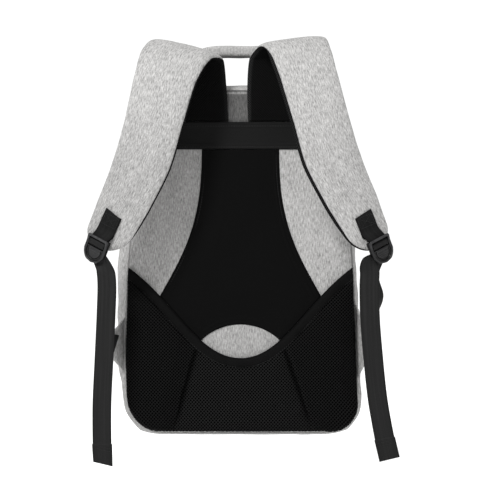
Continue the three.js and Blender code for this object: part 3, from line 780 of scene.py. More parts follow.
HEATHER = heather_material("heather_cloth")
BLACK_CLOTH = black_cloth_material("black_cloth", light=1.0)
# The yoke is the spine's black knit painted lighter: a painted sheen
YOKE_CLOTH = black_cloth_material("yoke_cloth", light=3.6)
BINDING_CLOTH = black_cloth_material("binding_cloth", light=1.5)
PAD_MESH_PITCH = 4.4
AIR_MESH = air_mesh_material("air_mesh", pitch=PAD_MESH_PITCH, thread_tone=0.0105)
STRAP_MESH = air_mesh_material("strap_mesh", pitch=3.2, thread_tone=0.0068)
TAPE = webbing_material("webbing", light=0.85, gloss=0.11)
STUB_TAPE = webbing_material("stub_webbing", light=0.6, gloss=0.06)
PLASTIC = plastic_material("buckle_plastic")
BLACK_THREAD = thread_material("black_thread", dark=0.006, light=0.018)
GREY_THREAD = thread_material("grey_thread", dark=0.16, light=0.34)


# Pieces of thread

def stitching(name, path, facing, material, pitch=3.4, radius=0.35, lift=0.1):
    """A row of stitches along a path on cloth, each a short bead that dips at its ends.

    The facing is the direction off the cloth, one for all points or one for each.
    """
    lengths = run_lengths(path)
    middles = np.arange(pitch / 2, lengths[-1], pitch)

    def pick(values, places):
        return np.stack([np.interp(places, lengths, values[:, k]) for k in range(3)], axis=1)

    ahead, behind = (pick(path, middles + reach) for reach in (STITCH.slope_reach, -STITCH.slope_reach))
    tangent = unit(ahead - behind)
    off = unit(pick(np.broadcast_to(facing, path.shape), middles))
    across = unit(np.cross(tangent, off))
    centre = pick(path, middles) + off * lift
    half = STITCH.half_share * pitch
    rings = []
    for along, thick in STITCH_RINGS:
        middle = centre + tangent * along * half - off * radius * STITCH.dip * along**2
        for turn in range(STITCH.sides):
            angle = turn * 2 * math.pi / STITCH.sides
            rings.append(middle + radius * thick * (across * math.cos(angle) + off * math.sin(angle)))
    points = np.stack(rings, axis=1)
    size = len(rings)
    ends = [list(range(STITCH.sides - 1, -1, -1)), list(range(size - STITCH.sides, size))]
    one = grid_faces(len(STITCH_RINGS), STITCH.sides, wrap=True) + ends
    faces = [[i + size * k for i in face] for k in range(len(points)) for face in one]
    return add_mesh(name, (points.reshape(-1, 3), faces, np.zeros((len(points) * size, 2))), material)


# Bag outline

def half_outline(inset):
    """Right half of the bag's outline (x, z), stepped in by an inset, from the base up to the crown."""
    base, crown, top = BASE_HALF - inset, CROWN_HALF - inset, BAG_HEIGHT - inset
    low, high = max(BASE_CORNER - inset, LEAST_CORNER), max(CROWN_CORNER - inset, LEAST_CORNER)
    low_pull, high_pull = low * (1 - ARC_PULL), high * (1 - ARC_PULL)
    foot, hip = (base - low, inset), (base, inset + low)
    shoulder, head = (crown, top - high), (crown - high, top)
    low_side = (base, hip[1] + SIDE_PULL.low)
    high_side = (crown + SIDE_PULL.bow, shoulder[1] - SIDE_PULL.high)
    parts = [
        (OUTLINE_STEPS.base, [(0, inset), foot]),
        (OUTLINE_STEPS.corner, [foot, (base - low_pull, inset), (base, inset + low_pull), hip]),
        (OUTLINE_STEPS.side, [hip, low_side, high_side, shoulder]),
        (OUTLINE_STEPS.corner, [shoulder, (crown, top - high_pull), (crown - high_pull, top), head]),
        (OUTLINE_STEPS.top, [head, (0, top)]),
    ]
    curves = [bezier(points, np.arange(steps) / steps) for steps, points in parts]
    return np.vstack(curves + [[(0, top)]])


def outline_ring(inset):
    half = half_outline(inset)
    return np.vstack([half, half[-2:0:-1] * (-1, 1)])


def bag_depth(depth, z):
    return depth * (1 + (CROWN_DEPTH_SHARE - 1) * z / BAG_HEIGHT)


def edge_at(inset, z):
    half = half_outline(inset)
    return np.interp(z, half[:, 1], half[:, 0])


def floor_at(inset, x):
    half = half_outline(inset)
    widest = int(np.argmax(half[:, 0])) + 1
    return np.interp(np.abs(x), half[:widest, 0], half[:widest, 1])


def border_distance(x, z, inset):
    """Distance of points in the outline's plane from the outline."""
    ring = outline_ring(inset)
    ends = np.roll(ring, -1, axis=0)
    points = np.stack([x.ravel(), z.ravel()], axis=1)[:, None, :]
    run = ends - ring
    share = ((points - ring) * run).sum(-1) / (run**2).sum(-1)
    near = ring + np.clip(share, 0, 1)[..., None] * run
    return np.linalg.norm(points - near, axis=-1).min(1).reshape(x.shape)


def panel_grid(inset):
    """Grid (x, z) that fills the outline: rows at its own heights, columns crowded towards the sides."""
    half = half_outline(inset)[OUTLINE_STEPS.base : -OUTLINE_STEPS.top]
    share = np.sin(np.linspace(-1, 1, PANEL_COLS) * math.pi / 2 * SIDE_CROWDING)
    share = share / math.sin(math.pi / 2 * SIDE_CROWDING)
    return half[:, :1] * share, np.repeat(half[:, 1:], PANEL_COLS, axis=1)


def settled(points, drop):
    """Points after the bag's lower end has sagged by a drop, drawn in and leant to the right."""
    x, z = points[..., 0], points[..., 2]
    moved = points.copy()
    low = smooth((LOW_LEAN.height - z) / LOW_LEAN.height)
    moved[..., 0] += (LOW_LEAN.shift - LOW_LEAN.taper * x) * low
    sag = drop * smooth((SAG.height - z) / SAG.height)
    moved[..., 2] -= sag * (1 + SAG.middle * bump(x, SAG.middle_reach))
    return moved


def bulged(points):
    """Points of the shell after it is stuffed: out at the sides, up at the crown."""
    x, z = points[..., 0], points[..., 2]
    depth = points[..., 1] / bag_depth(1, z)
    weight = smooth(depth / BULGE.back) * (1 - BULGE.front_loss * smooth((depth - BULGE.front) / BULGE.front))
    reach = (np.abs(x) / edge_at(0, np.clip(z, BASE_CORNER, BAG_HEIGHT - CROWN_CORNER))) ** 2
    moved = points.copy()
    for sign, table in SIDE_BULGE.items():
        curve = spline(table, np.linspace(0, 1, CURVE_STEPS))
        out = np.interp(z, curve[:, 0], curve[:, 1]) * reach * weight
        moved[..., 0] += np.where(np.sign(x) == sign, sign * out, 0)
    moved[..., 2] += BULGE.crown * smooth((z - BULGE.crown_from) / BULGE.crown_over) * weight
    return moved


# Bag shell

def gusset_grid():
    rows = []
    for depth, inset in spline(GUSSET_SECTIONS, np.linspace(0, 1, GUSSET.rows)):
        ring = outline_ring(max(inset, 0))[::GUSSET.every]
        rows.append(np.stack([ring[:, 0], bag_depth(depth, ring[:, 1]), ring[:, 1]], axis=1))
    return np.stack(rows)


def bag_shell():
    coarse = gusset_grid()
    held = np.zeros(coarse.shape[:2], bool)
    held[[0, 1, -1]] = True
    soft = swell(coarse, held, *SWELL["gusset"], wrap=True)
    outer = refine(soft, GUSSET.fine_rows, coarse.shape[1] * GUSSET.every, wrap=True)
    outer = settled(bulged(outer), SAG.shell)
    normals = -grid_normals(outer, wrap=True)
    away = arch_over(len(outer))[:, None]
    outer = outer + normals * (folds("gusset", outer) * away)[..., None]
    along = run_lengths(outer[len(outer) // 2])
    flat = flat_places(run_lengths(outer[:, 0])[:, None], np.minimum(along, along[-1] - along))
    gusset = plate(outer, outer - normals * CLOTH_WALL, flat, wrap=True)
    front = front_panel()
    row = int(GUSSET.seam_share * len(outer))
    closed = np.append(np.arange(outer.shape[1]), 0)
    front_seam = on_sheet(outline_ring(FRONT.seam), front)
    seams = [
        stitching("gusset_stitches", outer[row][closed], normals[row][closed], GREY_THREAD, pitch=3.8),
        stitching("front_stitches", *front_seam, GREY_THREAD, pitch=3.8),
    ]
    skin = joined(gusset, plate(front, front - TO_FRONT * CLOTH_WALL, front[..., [0, 2]]))
    return add_mesh("bag_shell", skin, HEATHER), seams


def on_sheet(ring, sheet, step=3.0, depth=120.0, nearest=4, least_apart=0.05):
    """A closed line (x, z) laid on the front of a sheet, after it has bulged as it does at a depth.

    Gives its points, and the directions off the sheet.
    """
    places = sheet.reshape(-1, 3)
    facing = grid_normals(sheet).reshape(-1, 3)
    facing = facing * np.sign(facing[:, 1:2])
    lengths = run_lengths(np.vstack([ring, ring[:1]]))
    spots = np.arange(0, lengths[-1], step)
    line = np.stack([np.interp(spots, lengths, np.append(ring[:, k], ring[0, k])) for k in range(2)], axis=1)
    line = settled(bulged(np.insert(line, 1, depth, axis=1)), SAG.shell)[:, [0, 2]]
    apart = np.linalg.norm(line[:, None] - places[None, :, [0, 2]], axis=-1)
    near = np.argsort(apart, axis=1)[:, :nearest]
    weight = 1 / (np.take_along_axis(apart, near, 1) + least_apart)
    weight /= weight.sum(1, keepdims=True)
    return (places[near] * weight[..., None]).sum(1), unit((facing[near] * weight[..., None]).sum(1))


def front_panel():
    x, z = panel_grid(FRONT.inset)
    distance = border_distance(x, z, FRONT.inset)
    profile = spline(FRONT_PROFILE, np.linspace(0, 1, FRONT_PROFILE_STEPS))
    depth = np.interp(distance, profile[:, 0], profile[:, 1])
    coarse = np.stack([x, bag_depth(depth, z), z], axis=-1)[::2, ::2]
    distance = distance[::2, ::2]
    soft = swell(coarse[:, ::-1], distance[:, ::-1] < FRONT.held, *SWELL["front"])[:, ::-1]
    front = settled(bulged(refine(soft, *FRONT_GRID)), SAG.shell)
    inside = np.clip(refine_values(distance, *FRONT_GRID) / FRONT.folds_from, 0, 1)
    return front + TO_FRONT * folds("front", front)[..., None] * inside


# Back panel and what is sewn on it

def pad_edge_height(x):
    curve = bezier(PAD_EDGE, np.linspace(0, 1, 2 * CURVE_STEPS))
    return np.interp(np.abs(x), curve[:, 0], curve[:, 1])


def spine_side(shares):
    """Right edge of the spine panel (x, z), from the yoke down to its hips."""
    hip = (SPINE.hip_half, pad_edge_height(SPINE.hip_half) + GAP)
    return bezier([(SPINE.top_half, YOKE.low - GAP), SPINE.upper, SPINE.lower, hip], shares)


def spine_half(z):
    """Half width of the spine panel at a height above its hips."""
    side = spine_side(np.linspace(0, 1, CURVE_STEPS))
    return np.interp(z, side[::-1, 1], side[::-1, 0])


def lens_radius():
    rise = LENS.top - pad_edge_height(LENS.half) - GAP
    return (LENS.half**2 + rise**2) / (2 * rise)


def spine_low(x):
    """Lower edge of the spine panel: the pad's edge, cut out in an arc above the middle."""
    radius = lens_radius()
    arc = LENS.top - radius + np.sqrt(np.maximum(radius**2 - np.minimum(np.abs(x), LENS.half) ** 2, 0))
    return np.where(np.abs(x) < LENS.half, arc, pad_edge_height(x) + GAP)


def covered(x, z, margin):
    """True where black cloth is sewn over the back panel, with a margin in from its edge."""
    aside = np.abs(x)
    yoke = (z > YOKE.low + margin) & (z < YOKE.high - margin)
    pad = z < pad_edge_height(x) - margin
    spine = (z <= YOKE.low + margin) & (z > spine_low(x) + margin) & (aside < spine_half(z) - margin)
    seam = (aside > LENS.half + margin) & (aside < SPINE.hip_half - margin)
    seam = seam & (z < pad_edge_height(x) + PAD_SEAM)
    return yoke | pad | spine | seam


def panel_shade(x, z):
    """Shade on the back panel, the darkest of its four kinds."""
    aside = np.abs(x)
    rim = border_distance(x, z, PANEL.inset)
    edge = RIM_SHADE.most * (1 - smooth((rim - RIM_SHADE.start) / RIM_SHADE.fade))
    top = smooth((z - YOKE.high + TOP_SHADE.rise) / TOP_SHADE.rise)
    top = top * (1 - smooth((aside - TOP_SHADE.half) / TOP_SHADE.fade))
    top *= TOP_SHADE.most - TOP_SHADE.light * bump(rim - TOP_SHADE.light_at, TOP_SHADE.light_width)
    lens = smooth((LENS.top + LENS_SHADE.above - z) / LENS_SHADE.fade)
    lens = LENS_SHADE.most * (lens * smooth((LENS.half + LENS_SHADE.beside - aside) / LENS_SHADE.fade))
    strap = smooth((-x - STRAP_SHADOW.beside) / STRAP_SHADOW.beside_fade)
    strap = STRAP_SHADOW.most * (strap * smooth((z - STRAP_SHADOW.above) / STRAP_SHADOW.above_fade))
    return np.maximum.reduce([edge, top, lens, strap])


def back_panel():
    x, z = panel_grid(PANEL.inset)
    distance = border_distance(x, z, PANEL.inset)
    share = np.clip(distance / PANEL.round, 0, 1)
    lift = PANEL.thickness * (PANEL.edge + (1 - PANEL.edge) * np.sqrt(1 - (1 - share) ** 2))
    coarse = np.stack([x, -lift, z], axis=-1)
    held = (distance < PANEL.held) | covered(x, z, margin=2)
    front = refine(swell(coarse, held, *SWELL["back"]), *BACK_GRID)
    loose = refine_values(~covered(x, z, margin=1) & (distance > PANEL.loose), *BACK_GRID)
    front = front - TO_FRONT * folds("back", front)[..., None] * np.clip(loose, 0, 1)
    front = settled(front, SAG.panel)
    back = front * (1, 0, 1) + (0, -GAP, 0)
    skin = plate(front, back, front[..., [0, 2]])
    shade = np.tile(panel_shade(front[..., 0], front[..., 2]).ravel(), 2)
    return add_mesh("back_panel", skin, HEATHER, shade), []


def hem_rise(distance):
    """Turned edge of a sewn sheet: a rounded border, a raised hem and a dip along its stitches."""
    round_edge = np.sqrt(np.clip(distance / HEMMED.round, 0, 1))
    hem = HEMMED.height * (1 - np.clip((distance - HEMMED.width) / HEMMED.round, 0, 1))
    dip = HEMMED.dip * bump(distance - HEMMED.width * HEMMED.dip_share, HEMMED.dip_width)
    return round_edge, hem - dip


def yoke_band():
    rows, cols = YOKE_GRID
    heights = [np.linspace(YOKE.low, YOKE.high, rows), YOKE.low + np.array(YOKE_EDGE_ROWS)]
    z = np.unique(np.concatenate(heights))
    x = np.linspace(-1, 1, cols) * edge_at(YOKE.inset, z)[:, None]
    z = np.repeat(z[:, None], cols, axis=1)
    round_edge, hem = hem_rise(np.minimum(z - YOKE.low, YOKE.high - z))
    roots = [np.mean([inner[0], outer[0]]) for (inner, outer, _), *_ in STRAP_ROWS.values()]
    lip = YOKE_LIP.height * np.minimum(sum(bump(x - root, YOKE_LIP.spread) for root in roots), 1)
    lip = lip * np.clip((z - YOKE.low) / (YOKE.high - YOKE.low), 0, 1) ** 2
    points = np.stack([x, np.zeros_like(x), z], axis=-1)
    rise = YOKE.thickness * round_edge + hem + lip + folds("yoke", points)
    front = points + TO_FRONT * (PANEL_FACE - rise)[..., None]
    back = points + TO_FRONT * (PANEL_FACE - np.minimum(lip, YOKE_LIP.most_behind))[..., None]
    piece = add_mesh("yoke_band", plate(front, back, points[..., [0, 2]]), YOKE_CLOTH)
    seams = [
        stitching(f"yoke_stitches_{name}", front[row], TO_WEARER, BLACK_THREAD)
        for name, row in YOKE_SEAM_ROWS.items()
    ]
    return piece, seams


def spine_panel():
    rows, cols = SPINE_GRID
    u = np.linspace(-1, 1, cols)
    side = spine_side(np.linspace(0, 1, rows))
    top, hip = YOKE.low - GAP, side[-1, 1]
    drop = (top - spine_low(u * SPINE.hip_half)) / (top - hip)
    x = side[:, :1] * u
    z = top - (top - side[:, 1:]) * drop
    edge = np.minimum((1 - np.abs(u)) * side[:, :1], SPINE_EDGE.most)
    under_pad = smooth((np.abs(x) - LENS.half + SPINE_EDGE.pad_from) / SPINE_EDGE.pad_over)
    low = np.maximum(z - spine_low(x), 0) * SPINE_EDGE.low_share + SPINE_EDGE.under_pad * under_pad
    distance = np.minimum(np.maximum(edge, 0), low)
    round_edge, hem = hem_rise(distance)
    points = np.stack([x, np.zeros_like(x), z], axis=-1)
    rise = SPINE.thickness * round_edge + hem + folds("spine", points)
    rise += SPINE_CROWN.height * np.clip(distance / SPINE_CROWN.over, 0, 1)
    front = points + TO_FRONT * (PANEL_FACE - rise)[..., None]
    back = points + TO_FRONT * PANEL_FACE
    piece = add_mesh("spine_panel", plate(front, back, points[..., [0, 2]]), BLACK_CLOTH)
    seams = []
    for name, sign in OUTWARDS.items():
        edge_x, edge_z = side[SPINE_SEAM.skip:-SPINE_SEAM.skip].T
        depth = np.full(len(edge_x), PANEL_FACE - SPINE.thickness - SPINE_SEAM.off)
        path = np.stack([sign * (edge_x - SPINE_SEAM.inset), depth, edge_z], axis=1)
        seams.append(stitching(f"spine_stitches_{name}", path, TO_WEARER, BLACK_THREAD))
    return piece, seams


def below_pad_edge(shares, distance):
    """Points (x, z) at a distance below the pad's upper edge, kept inside the side seam."""
    size = np.abs(shares)
    edge = bezier(PAD_EDGE, size)
    tangent = unit(bezier(PAD_EDGE, size + SLOPE_STEP) - bezier(PAD_EDGE, size - SLOPE_STEP))
    z = edge[:, 1] - tangent[:, 0] * distance
    x = np.minimum(edge[:, 0] + tangent[:, 1] * distance, edge_at(PAD.inset, z))
    return np.stack([np.sign(shares) * x, z], axis=1)


def round_off(distance, radius):
    """Share of full height at a distance from a rounded edge."""
    return np.sqrt(1 - (1 - np.clip(distance / radius, 0, 1)) ** 2)


def pad_grid(shares, rows):
    """Pad surface before it swells: three lobes between two creases."""
    side = edge_at(PAD.inset, BASE_CORNER)
    size = np.abs(shares)
    inner = CREASE.low * size / CREASE.share
    outer = CREASE.low + (side - CREASE.low) * (size - CREASE.share) / (1 - CREASE.share)
    low = np.sign(shares) * np.where(size < CREASE.share, inner, outer)
    floor = np.stack([low, floor_at(PAD.inset, low)], axis=1)
    top = below_pad_edge(shares, BINDING.width - BINDING.overlap)
    share = np.asarray(rows)[:, None, None]
    place = floor[None] * (1 - share) + top[None] * share
    rim = np.minimum(side - np.abs(low), place[..., 1] - floor[None, :, 1])
    lobe = size / CREASE.share - 1
    away = np.where(lobe < 0, np.sqrt(np.maximum(-lobe, 0)), np.sqrt(np.clip(lobe / PAD.shoulder, 0, 1)))
    upper = np.linalg.norm(place - top[None], axis=-1)
    rise = round_off(rim, PAD.rim_radius)
    rise *= PAD.roll_edge + (1 - PAD.roll_edge) * round_off(upper, PAD.roll)
    thickness = PAD.rim + (PAD.crown - PAD.rim) * rise * (CREASE.depth + (1 - CREASE.depth) * away)
    return np.stack([place[..., 0], PANEL_FACE - thickness, place[..., 1]], axis=-1)


def filled_corners(points):
    """The pad with its lower corners pushed out, so that little of the shell shows round them."""
    turn = edge_at(0, BASE_CORNER) - BASE_CORNER
    away = np.stack([np.abs(points[..., 0]) - turn, BASE_CORNER - points[..., 2]], axis=-1)
    away = np.maximum(away, 0) / (BASE_CORNER - PAD.inset)
    corner = np.where(points[..., 0] < 0, PAD_CORNER[-1], PAD_CORNER[1])
    push = (4 * corner * away[..., 0] * away[..., 1])[..., None] * away
    moved = points.copy()
    moved[..., 0] += np.sign(points[..., 0]) * push[..., 0]
    moved[..., 2] -= push[..., 1]
    return moved


def lumbar_pad():
    coarse_rows, coarse_cols = PAD_COARSE
    shares = np.linspace(-1, 1, coarse_cols)
    coarse = pad_grid(shares, np.linspace(0, 1, coarse_rows))
    held = np.zeros(PAD_COARSE, bool)
    held[[0, -1]] = True
    held[:, [0, -1]] = True
    held[:, np.abs(np.abs(shares) - CREASE.share) < CREASE.held] = True
    front = refine(swell(coarse, held, *SWELL["pad"]), *PAD_GRID)
    rows, cols = PAD_GRID
    x, z = front[..., 0], front[..., 2]
    turned = [np.abs((side / PAD_MESH_PITCH) % 1 - 0.5) for side in (x + z, x - z)]
    hole = np.clip((PAD_HOLE.size - np.maximum(*turned)) / PAD_HOLE.slope, 0, 1)
    inside = np.minimum.outer(arch_over(rows), arch_over(cols)) ** 0.5
    from_crease = np.abs(np.linspace(-1, 1, cols)) - CREASE.share
    pucker = bump(from_crease, PUCKER.width) * np.sin(z / PUCKER.wave)
    push = folds("pad", front) * inside - PAD_HOLE.depth * hole + PUCKER.height * pucker * inside
    normals = grid_normals(front)
    front = front - normals * push[..., None] * np.sign(normals[..., 1:2])
    front = settled(filled_corners(front), SAG.pad)
    crease = PAD_SHADE.crease * bump(from_crease, PAD_SHADE.crease_width)
    shade = PAD_SHADE.lobe * smooth(from_crease / PAD_SHADE.lobe_fade)
    shade = shade + crease * smooth((z - PAD_SHADE.crease_from) / PAD_SHADE.crease_fade)
    shade[[0, -1]] = shade[:, [0, -1]] = PAD_SHADE.border
    skin, shades = capped(front, PANEL_FACE, np.stack([x, z], axis=-1), shade)
    return add_mesh("lumbar_pad", skin, AIR_MESH, shades), []


def lumbar_binding():
    rows, cols = BINDING_GRID
    shares = np.linspace(-1, 1, rows)
    section = spline(BINDING_SECTION, np.linspace(0, 1, cols))
    across, off = section.T
    rings = []
    for share, height in section:
        x, z = below_pad_edge(shares, max(share, 0) * BINDING.width).T
        rings.append(np.stack([x, np.full(rows, PANEL_FACE - height * BINDING.thickness), z], axis=1))
    grid = np.stack(rings, axis=1)
    along = run_lengths(grid[:, cols // 2])
    gathers = GATHERS.height * np.sin(along / GATHERS.wave)[:, None]
    pull = folds("binding", grid) + gathers * bump(across - GATHERS.share, GATHERS.width)
    groove = BINDING_SEAM.groove * bump(across - BINDING_SEAM.share, BINDING_SEAM.width) * (off > 0.5)
    grid[..., 1] -= arch_over(cols) * (pull - groove)
    grid = settled(grid, SAG.pad)
    flat = flat_places(across * BINDING.width, along[:, None])
    piece = add_mesh("lumbar_binding", tube(grid, flat), BINDING_CLOTH)
    row = int(np.argmin(np.abs(across - BINDING_SEAM.share) + (off < 0.5)))
    path = grid[BINDING_SEAM.skip:-BINDING_SEAM.skip, row]
    return piece, [stitching("binding_stitches", path, TO_WEARER, BLACK_THREAD)]


# Shoulder straps

def strap_frames(side, shares):
    """Middle, direction across, normal, half width and thickness share along a strap."""
    inner, outer, full = (np.array(column, float) for column in zip(*STRAP_ROWS[side]))
    width = outer - inner
    half = np.linalg.norm(width, axis=1) / 2
    middle = (inner + outer) / 2
    place = np.arange(len(half)) / (len(half) - 1)
    across = unit(spline(unit(width), shares))
    tangent = unit(spline(middle, shares + SLOPE_STEP) - spline(middle, shares - SLOPE_STEP))
    return Sizes(
        middle=spline(middle, shares),
        across=across,
        normal=unit(np.cross(across, tangent)) * -OUTWARDS[side],
        half=np.interp(shares, place, half),
        full=np.interp(shares, place, full),
    )


def strap_shares():
    """Places along a strap, crowded towards its round tip."""
    run = np.linspace(0, 1 - STRAP_STEPS.tip_share, STRAP_STEPS.run, endpoint=False)
    turn = np.sin(np.linspace(0, math.pi / 2, STRAP_STEPS.tip))
    return np.concatenate([run, 1 - STRAP_STEPS.tip_share * (1 - turn)])


def tip_half(frames):
    reach = np.linalg.norm(frames.middle - frames.middle[-1], axis=1)
    return frames.half * np.maximum(round_off(reach, STRAP.tip_radius), LEAST_SHARE)


def strap_layer(layer, side):
    """The face or the lining of a strap: flat against the other layer, and crowned on its own side.

    The lining is wider, so that its edges show past the face.
    """
    lining = layer == "lining"
    depth, material = (-STRAP.lining, STRAP_MESH) if lining else (STRAP.face, HEATHER)
    inner, outer = LINING_EDGE[side] if lining else (0.0, 0.0)
    square = STRAP_SQUARE[layer]
    shares = strap_shares()
    frames = strap_frames(side, shares)
    hides = TIP_HIDES[side] * smooth((shares - LINING_SHOWS.hides) / LINING_SHOWS.hides_over)
    shows = smooth((shares - LINING_SHOWS.start) / LINING_SHOWS.over) * (1 - hides)
    half = tip_half(frames) + (inner * shows + outer) / 2
    middle = frames.middle + frames.across * ((outer - inner * shows) / 2)[:, None]

    def place(across, off):
        sideways = frames.across[:, None] * (half[:, None] * across)[..., None]
        return middle[:, None] + sideways + frames.normal[:, None] * off[..., None]

    share = np.sin(np.linspace(-1, 1, STRAP_COLS) * math.pi / 2)
    crown = (1 - np.abs(share) ** square) ** (1 / square)
    tip = np.clip(half / (frames.half * STRAP.full_from), 0, 1)
    inside = math.copysign(GAP / 2, depth)
    top = place(share, inside + depth * (frames.full * tip)[:, None] * crown)
    held = np.zeros(top.shape[:2], bool)
    held[:, [0, 1, -2, -1]] = True
    held[[0, -1]] = True
    coarse = top[::2, ::2]
    # Pressure acts towards one side of a grid, so that the columns of some layers are turned round for it
    order = 1 if (side == "left") != lining else -1
    soft = swell(coarse[:, ::order], held[::2, ::2], *SWELL["strap"])[:, ::order]
    top = top + refine(soft - coarse, *top.shape[:2])
    rise = folds(layer, top) * crown * math.copysign(1, depth)
    top = top + frames.normal[:, None] * rise[..., None]
    flat_share = np.linspace(1, -1, STRAP_STEPS.under + 2)[1:-1]
    under = place(flat_share, np.full((len(half), STRAP_STEPS.under), inside))
    rings = np.concatenate([top, under], axis=1)
    across = np.concatenate([share, flat_share])
    skin = tube(rings, flat_places(half[:, None] * across, run_lengths(middle)[:, None]))
    shade = STRAP_SHADE[side] * smooth((STRAP_FADE.height - skin[0][:, 2]) / STRAP_FADE.over)
    if lining:
        # A negative shade lightens the lining's edges: a painted highlight
        highlit = smooth((np.abs(across) - HIGHLIGHT_EDGE.share) / HIGHLIGHT_EDGE.over)
        shade[:-2] -= LINING_EDGE_HIGHLIGHT[side] * np.tile(highlit, len(rings))
    return add_mesh(f"strap_{layer}_{side}", skin, material, shade), []


# Buckles and webbing

def plane_depth(own, x, z, off):
    """Depth at which a point seen at (x, z) lies a distance off a frame's plane."""
    aside = (x - own.origin[0]) * own.off[0] + (z - own.origin[2]) * own.off[2]
    return own.origin[1] + (off - aside) / own.off[1]


def stub_frame(side):
    """Frame on the strap's tip: along the stub, towards the bag's middle, and off the strap."""
    frames = strap_frames(side, np.linspace(0, 1, STRAP.seat_steps + 1))
    seat = -STRAP.seat_from_end
    off = frames.normal[seat]
    lean = np.array([OUTWARDS[side] * BUCKLE_LEAN[side].x, 0, BUCKLE_LEAN[side].z])
    along = unit(lean - off * (lean @ off))
    inward = np.cross(off, along) * -OUTWARDS[side]
    lift = STRAP.face * frames.full[seat] + 2 * GAP + WEBBING.thickness / 2
    x, z = STUB_SEAT[side]
    strap = Sizes(origin=frames.middle[seat], off=off)
    origin = np.array([x, plane_depth(strap, x, z, lift), z])
    return Sizes(origin=origin, along=along, inward=inward, off=off)


def buckle_frame(side):
    """The pulled buckle's frame, with its origin at the middle of the rim."""
    mirror = np.array([OUTWARDS[side], 1, 1])
    along = unit(mirror * BUCKLE_ALONG)
    across = mirror * BUCKLE_ACROSS
    across = unit(across - along * (across @ along))
    off = np.cross(along, across)
    off = off * -np.sign(off[1])
    x, z = BUCKLE_RIM[side]
    origin = np.array([x, plane_depth(stub_frame(side), x, z, BUCKLE_LIFT), z])
    return Sizes(origin=origin, along=along, inward=-across, off=off)


def in_frame(own, along, off, shift=0.0):
    return own.origin + own.along * along + own.off * off + own.inward * shift


def webbing_skin(points, across, steps, half=WEBBING.half, thickness=WEBBING.thickness):
    """Woven tape along stations, with ribs along it and thick rounded edges, and its length."""
    shares = np.linspace(0, 1, steps)
    place = np.arange(len(points)) / (len(points) - 1)
    half, thickness = (
        np.interp(shares, place, np.broadcast_to(size, len(points))) for size in (half, thickness)
    )
    middle = spline(points, shares)
    sideways = unit(spline(across, shares))
    tangent = unit(spline(points, shares + SLOPE_STEP) - spline(points, shares - SLOPE_STEP))
    normal = unit(np.cross(sideways, tangent))
    share = np.linspace(-1, 1, WEBBING.ribs * 2 + 1)
    rib = 1 - WEBBING.rib_dip * np.abs(np.cos(share * WEBBING.half / WEBBING.rib_pitch * math.pi))
    edge = np.sqrt(np.clip((1 - np.abs(share)) / WEBBING.edge, 0.0, 1))
    height = np.maximum(rib * edge, LEAST_SHARE)
    around = np.concatenate([share, share[-2:0:-1]])
    offs = np.concatenate([height, -height[-2:0:-1]])
    rings = (
        middle[:, None]
        + sideways[:, None] * (half[:, None] * around)[..., None]
        + normal[:, None] * (thickness[:, None] / 2 * offs)[..., None]
    )
    along = run_lengths(middle)
    return tube(rings, flat_places(half[:, None] * around, along[:, None])), along[-1]


def strap_stub(side):
    own, buckled = stub_frame(side), buckle_frame(side)
    points = [in_frame(own, *row) for row in STUB_TOP]
    points += [in_frame(buckled, along, off, shift) for along, off, _, shift in STUB_LOOP]
    points += [in_frame(own, *row) for row in STUB_BACK]
    across = [unit(-own.inward - own.along * STUB_SKEW[side])] + [-own.inward] * (len(STUB_TOP) - 1)
    across += [unit(-own.inward * (1 - turn) - buckled.inward * turn) for _, _, turn, _ in STUB_LOOP]
    across += [-own.inward] * len(STUB_BACK)
    skin, _ = webbing_skin(points, across, WEBBING_STEPS["stub"])
    piece = add_mesh(f"strap_stub_{side}", skin, STUB_TAPE)
    top_out, top_in, low_in, low_out = (
        in_frame(own, along, STUB_BOX.off, shift)
        for along, shift in (
            (STUB_BOX.top, -STUB_BOX.half),
            (STUB_BOX.top, STUB_BOX.half),
            (STUB_BOX.low, STUB_BOX.half),
            (STUB_BOX.low, -STUB_BOX.half),
        )
    )
    corners = [top_out, top_in, low_in, low_out, top_out, low_in, low_out, top_in]
    path = np.vstack([np.linspace(a, b, STUB_BOX.steps) for a, b in zip(corners, corners[1:])])
    return piece, [stitching(f"stub_stitches_{side}", path, own.off, BLACK_THREAD, pitch=2.4, radius=0.28)]


def anchor_stations(side):
    """Sewn edge and apex edge of the anchor tab: upper and lower end of each."""
    sign = OUTWARDS[side]
    tip = TAB_APEX[side]
    seam = [np.array([sign * (edge_at(PANEL.inset, z) + TAB.seat), TAB.lift, z]) for z in tip.seam]
    apex = [np.array([sign * x, tip.depth, z]) for x, z in (tip.high, tip.low)]
    return seam, apex


def tab_seam(grid):
    """Down one edge of a tab's grid, along its apex and back up the other edge."""
    first, apex, side = TAB_SEAM.first, TAB_SEAM.apex, TAB_SEAM.side
    along_apex = grid[apex, side + 1:-side - 1]
    return np.concatenate([grid[first:apex + 1, side], along_apex, grid[apex:first - 1:-1, -side - 1]])


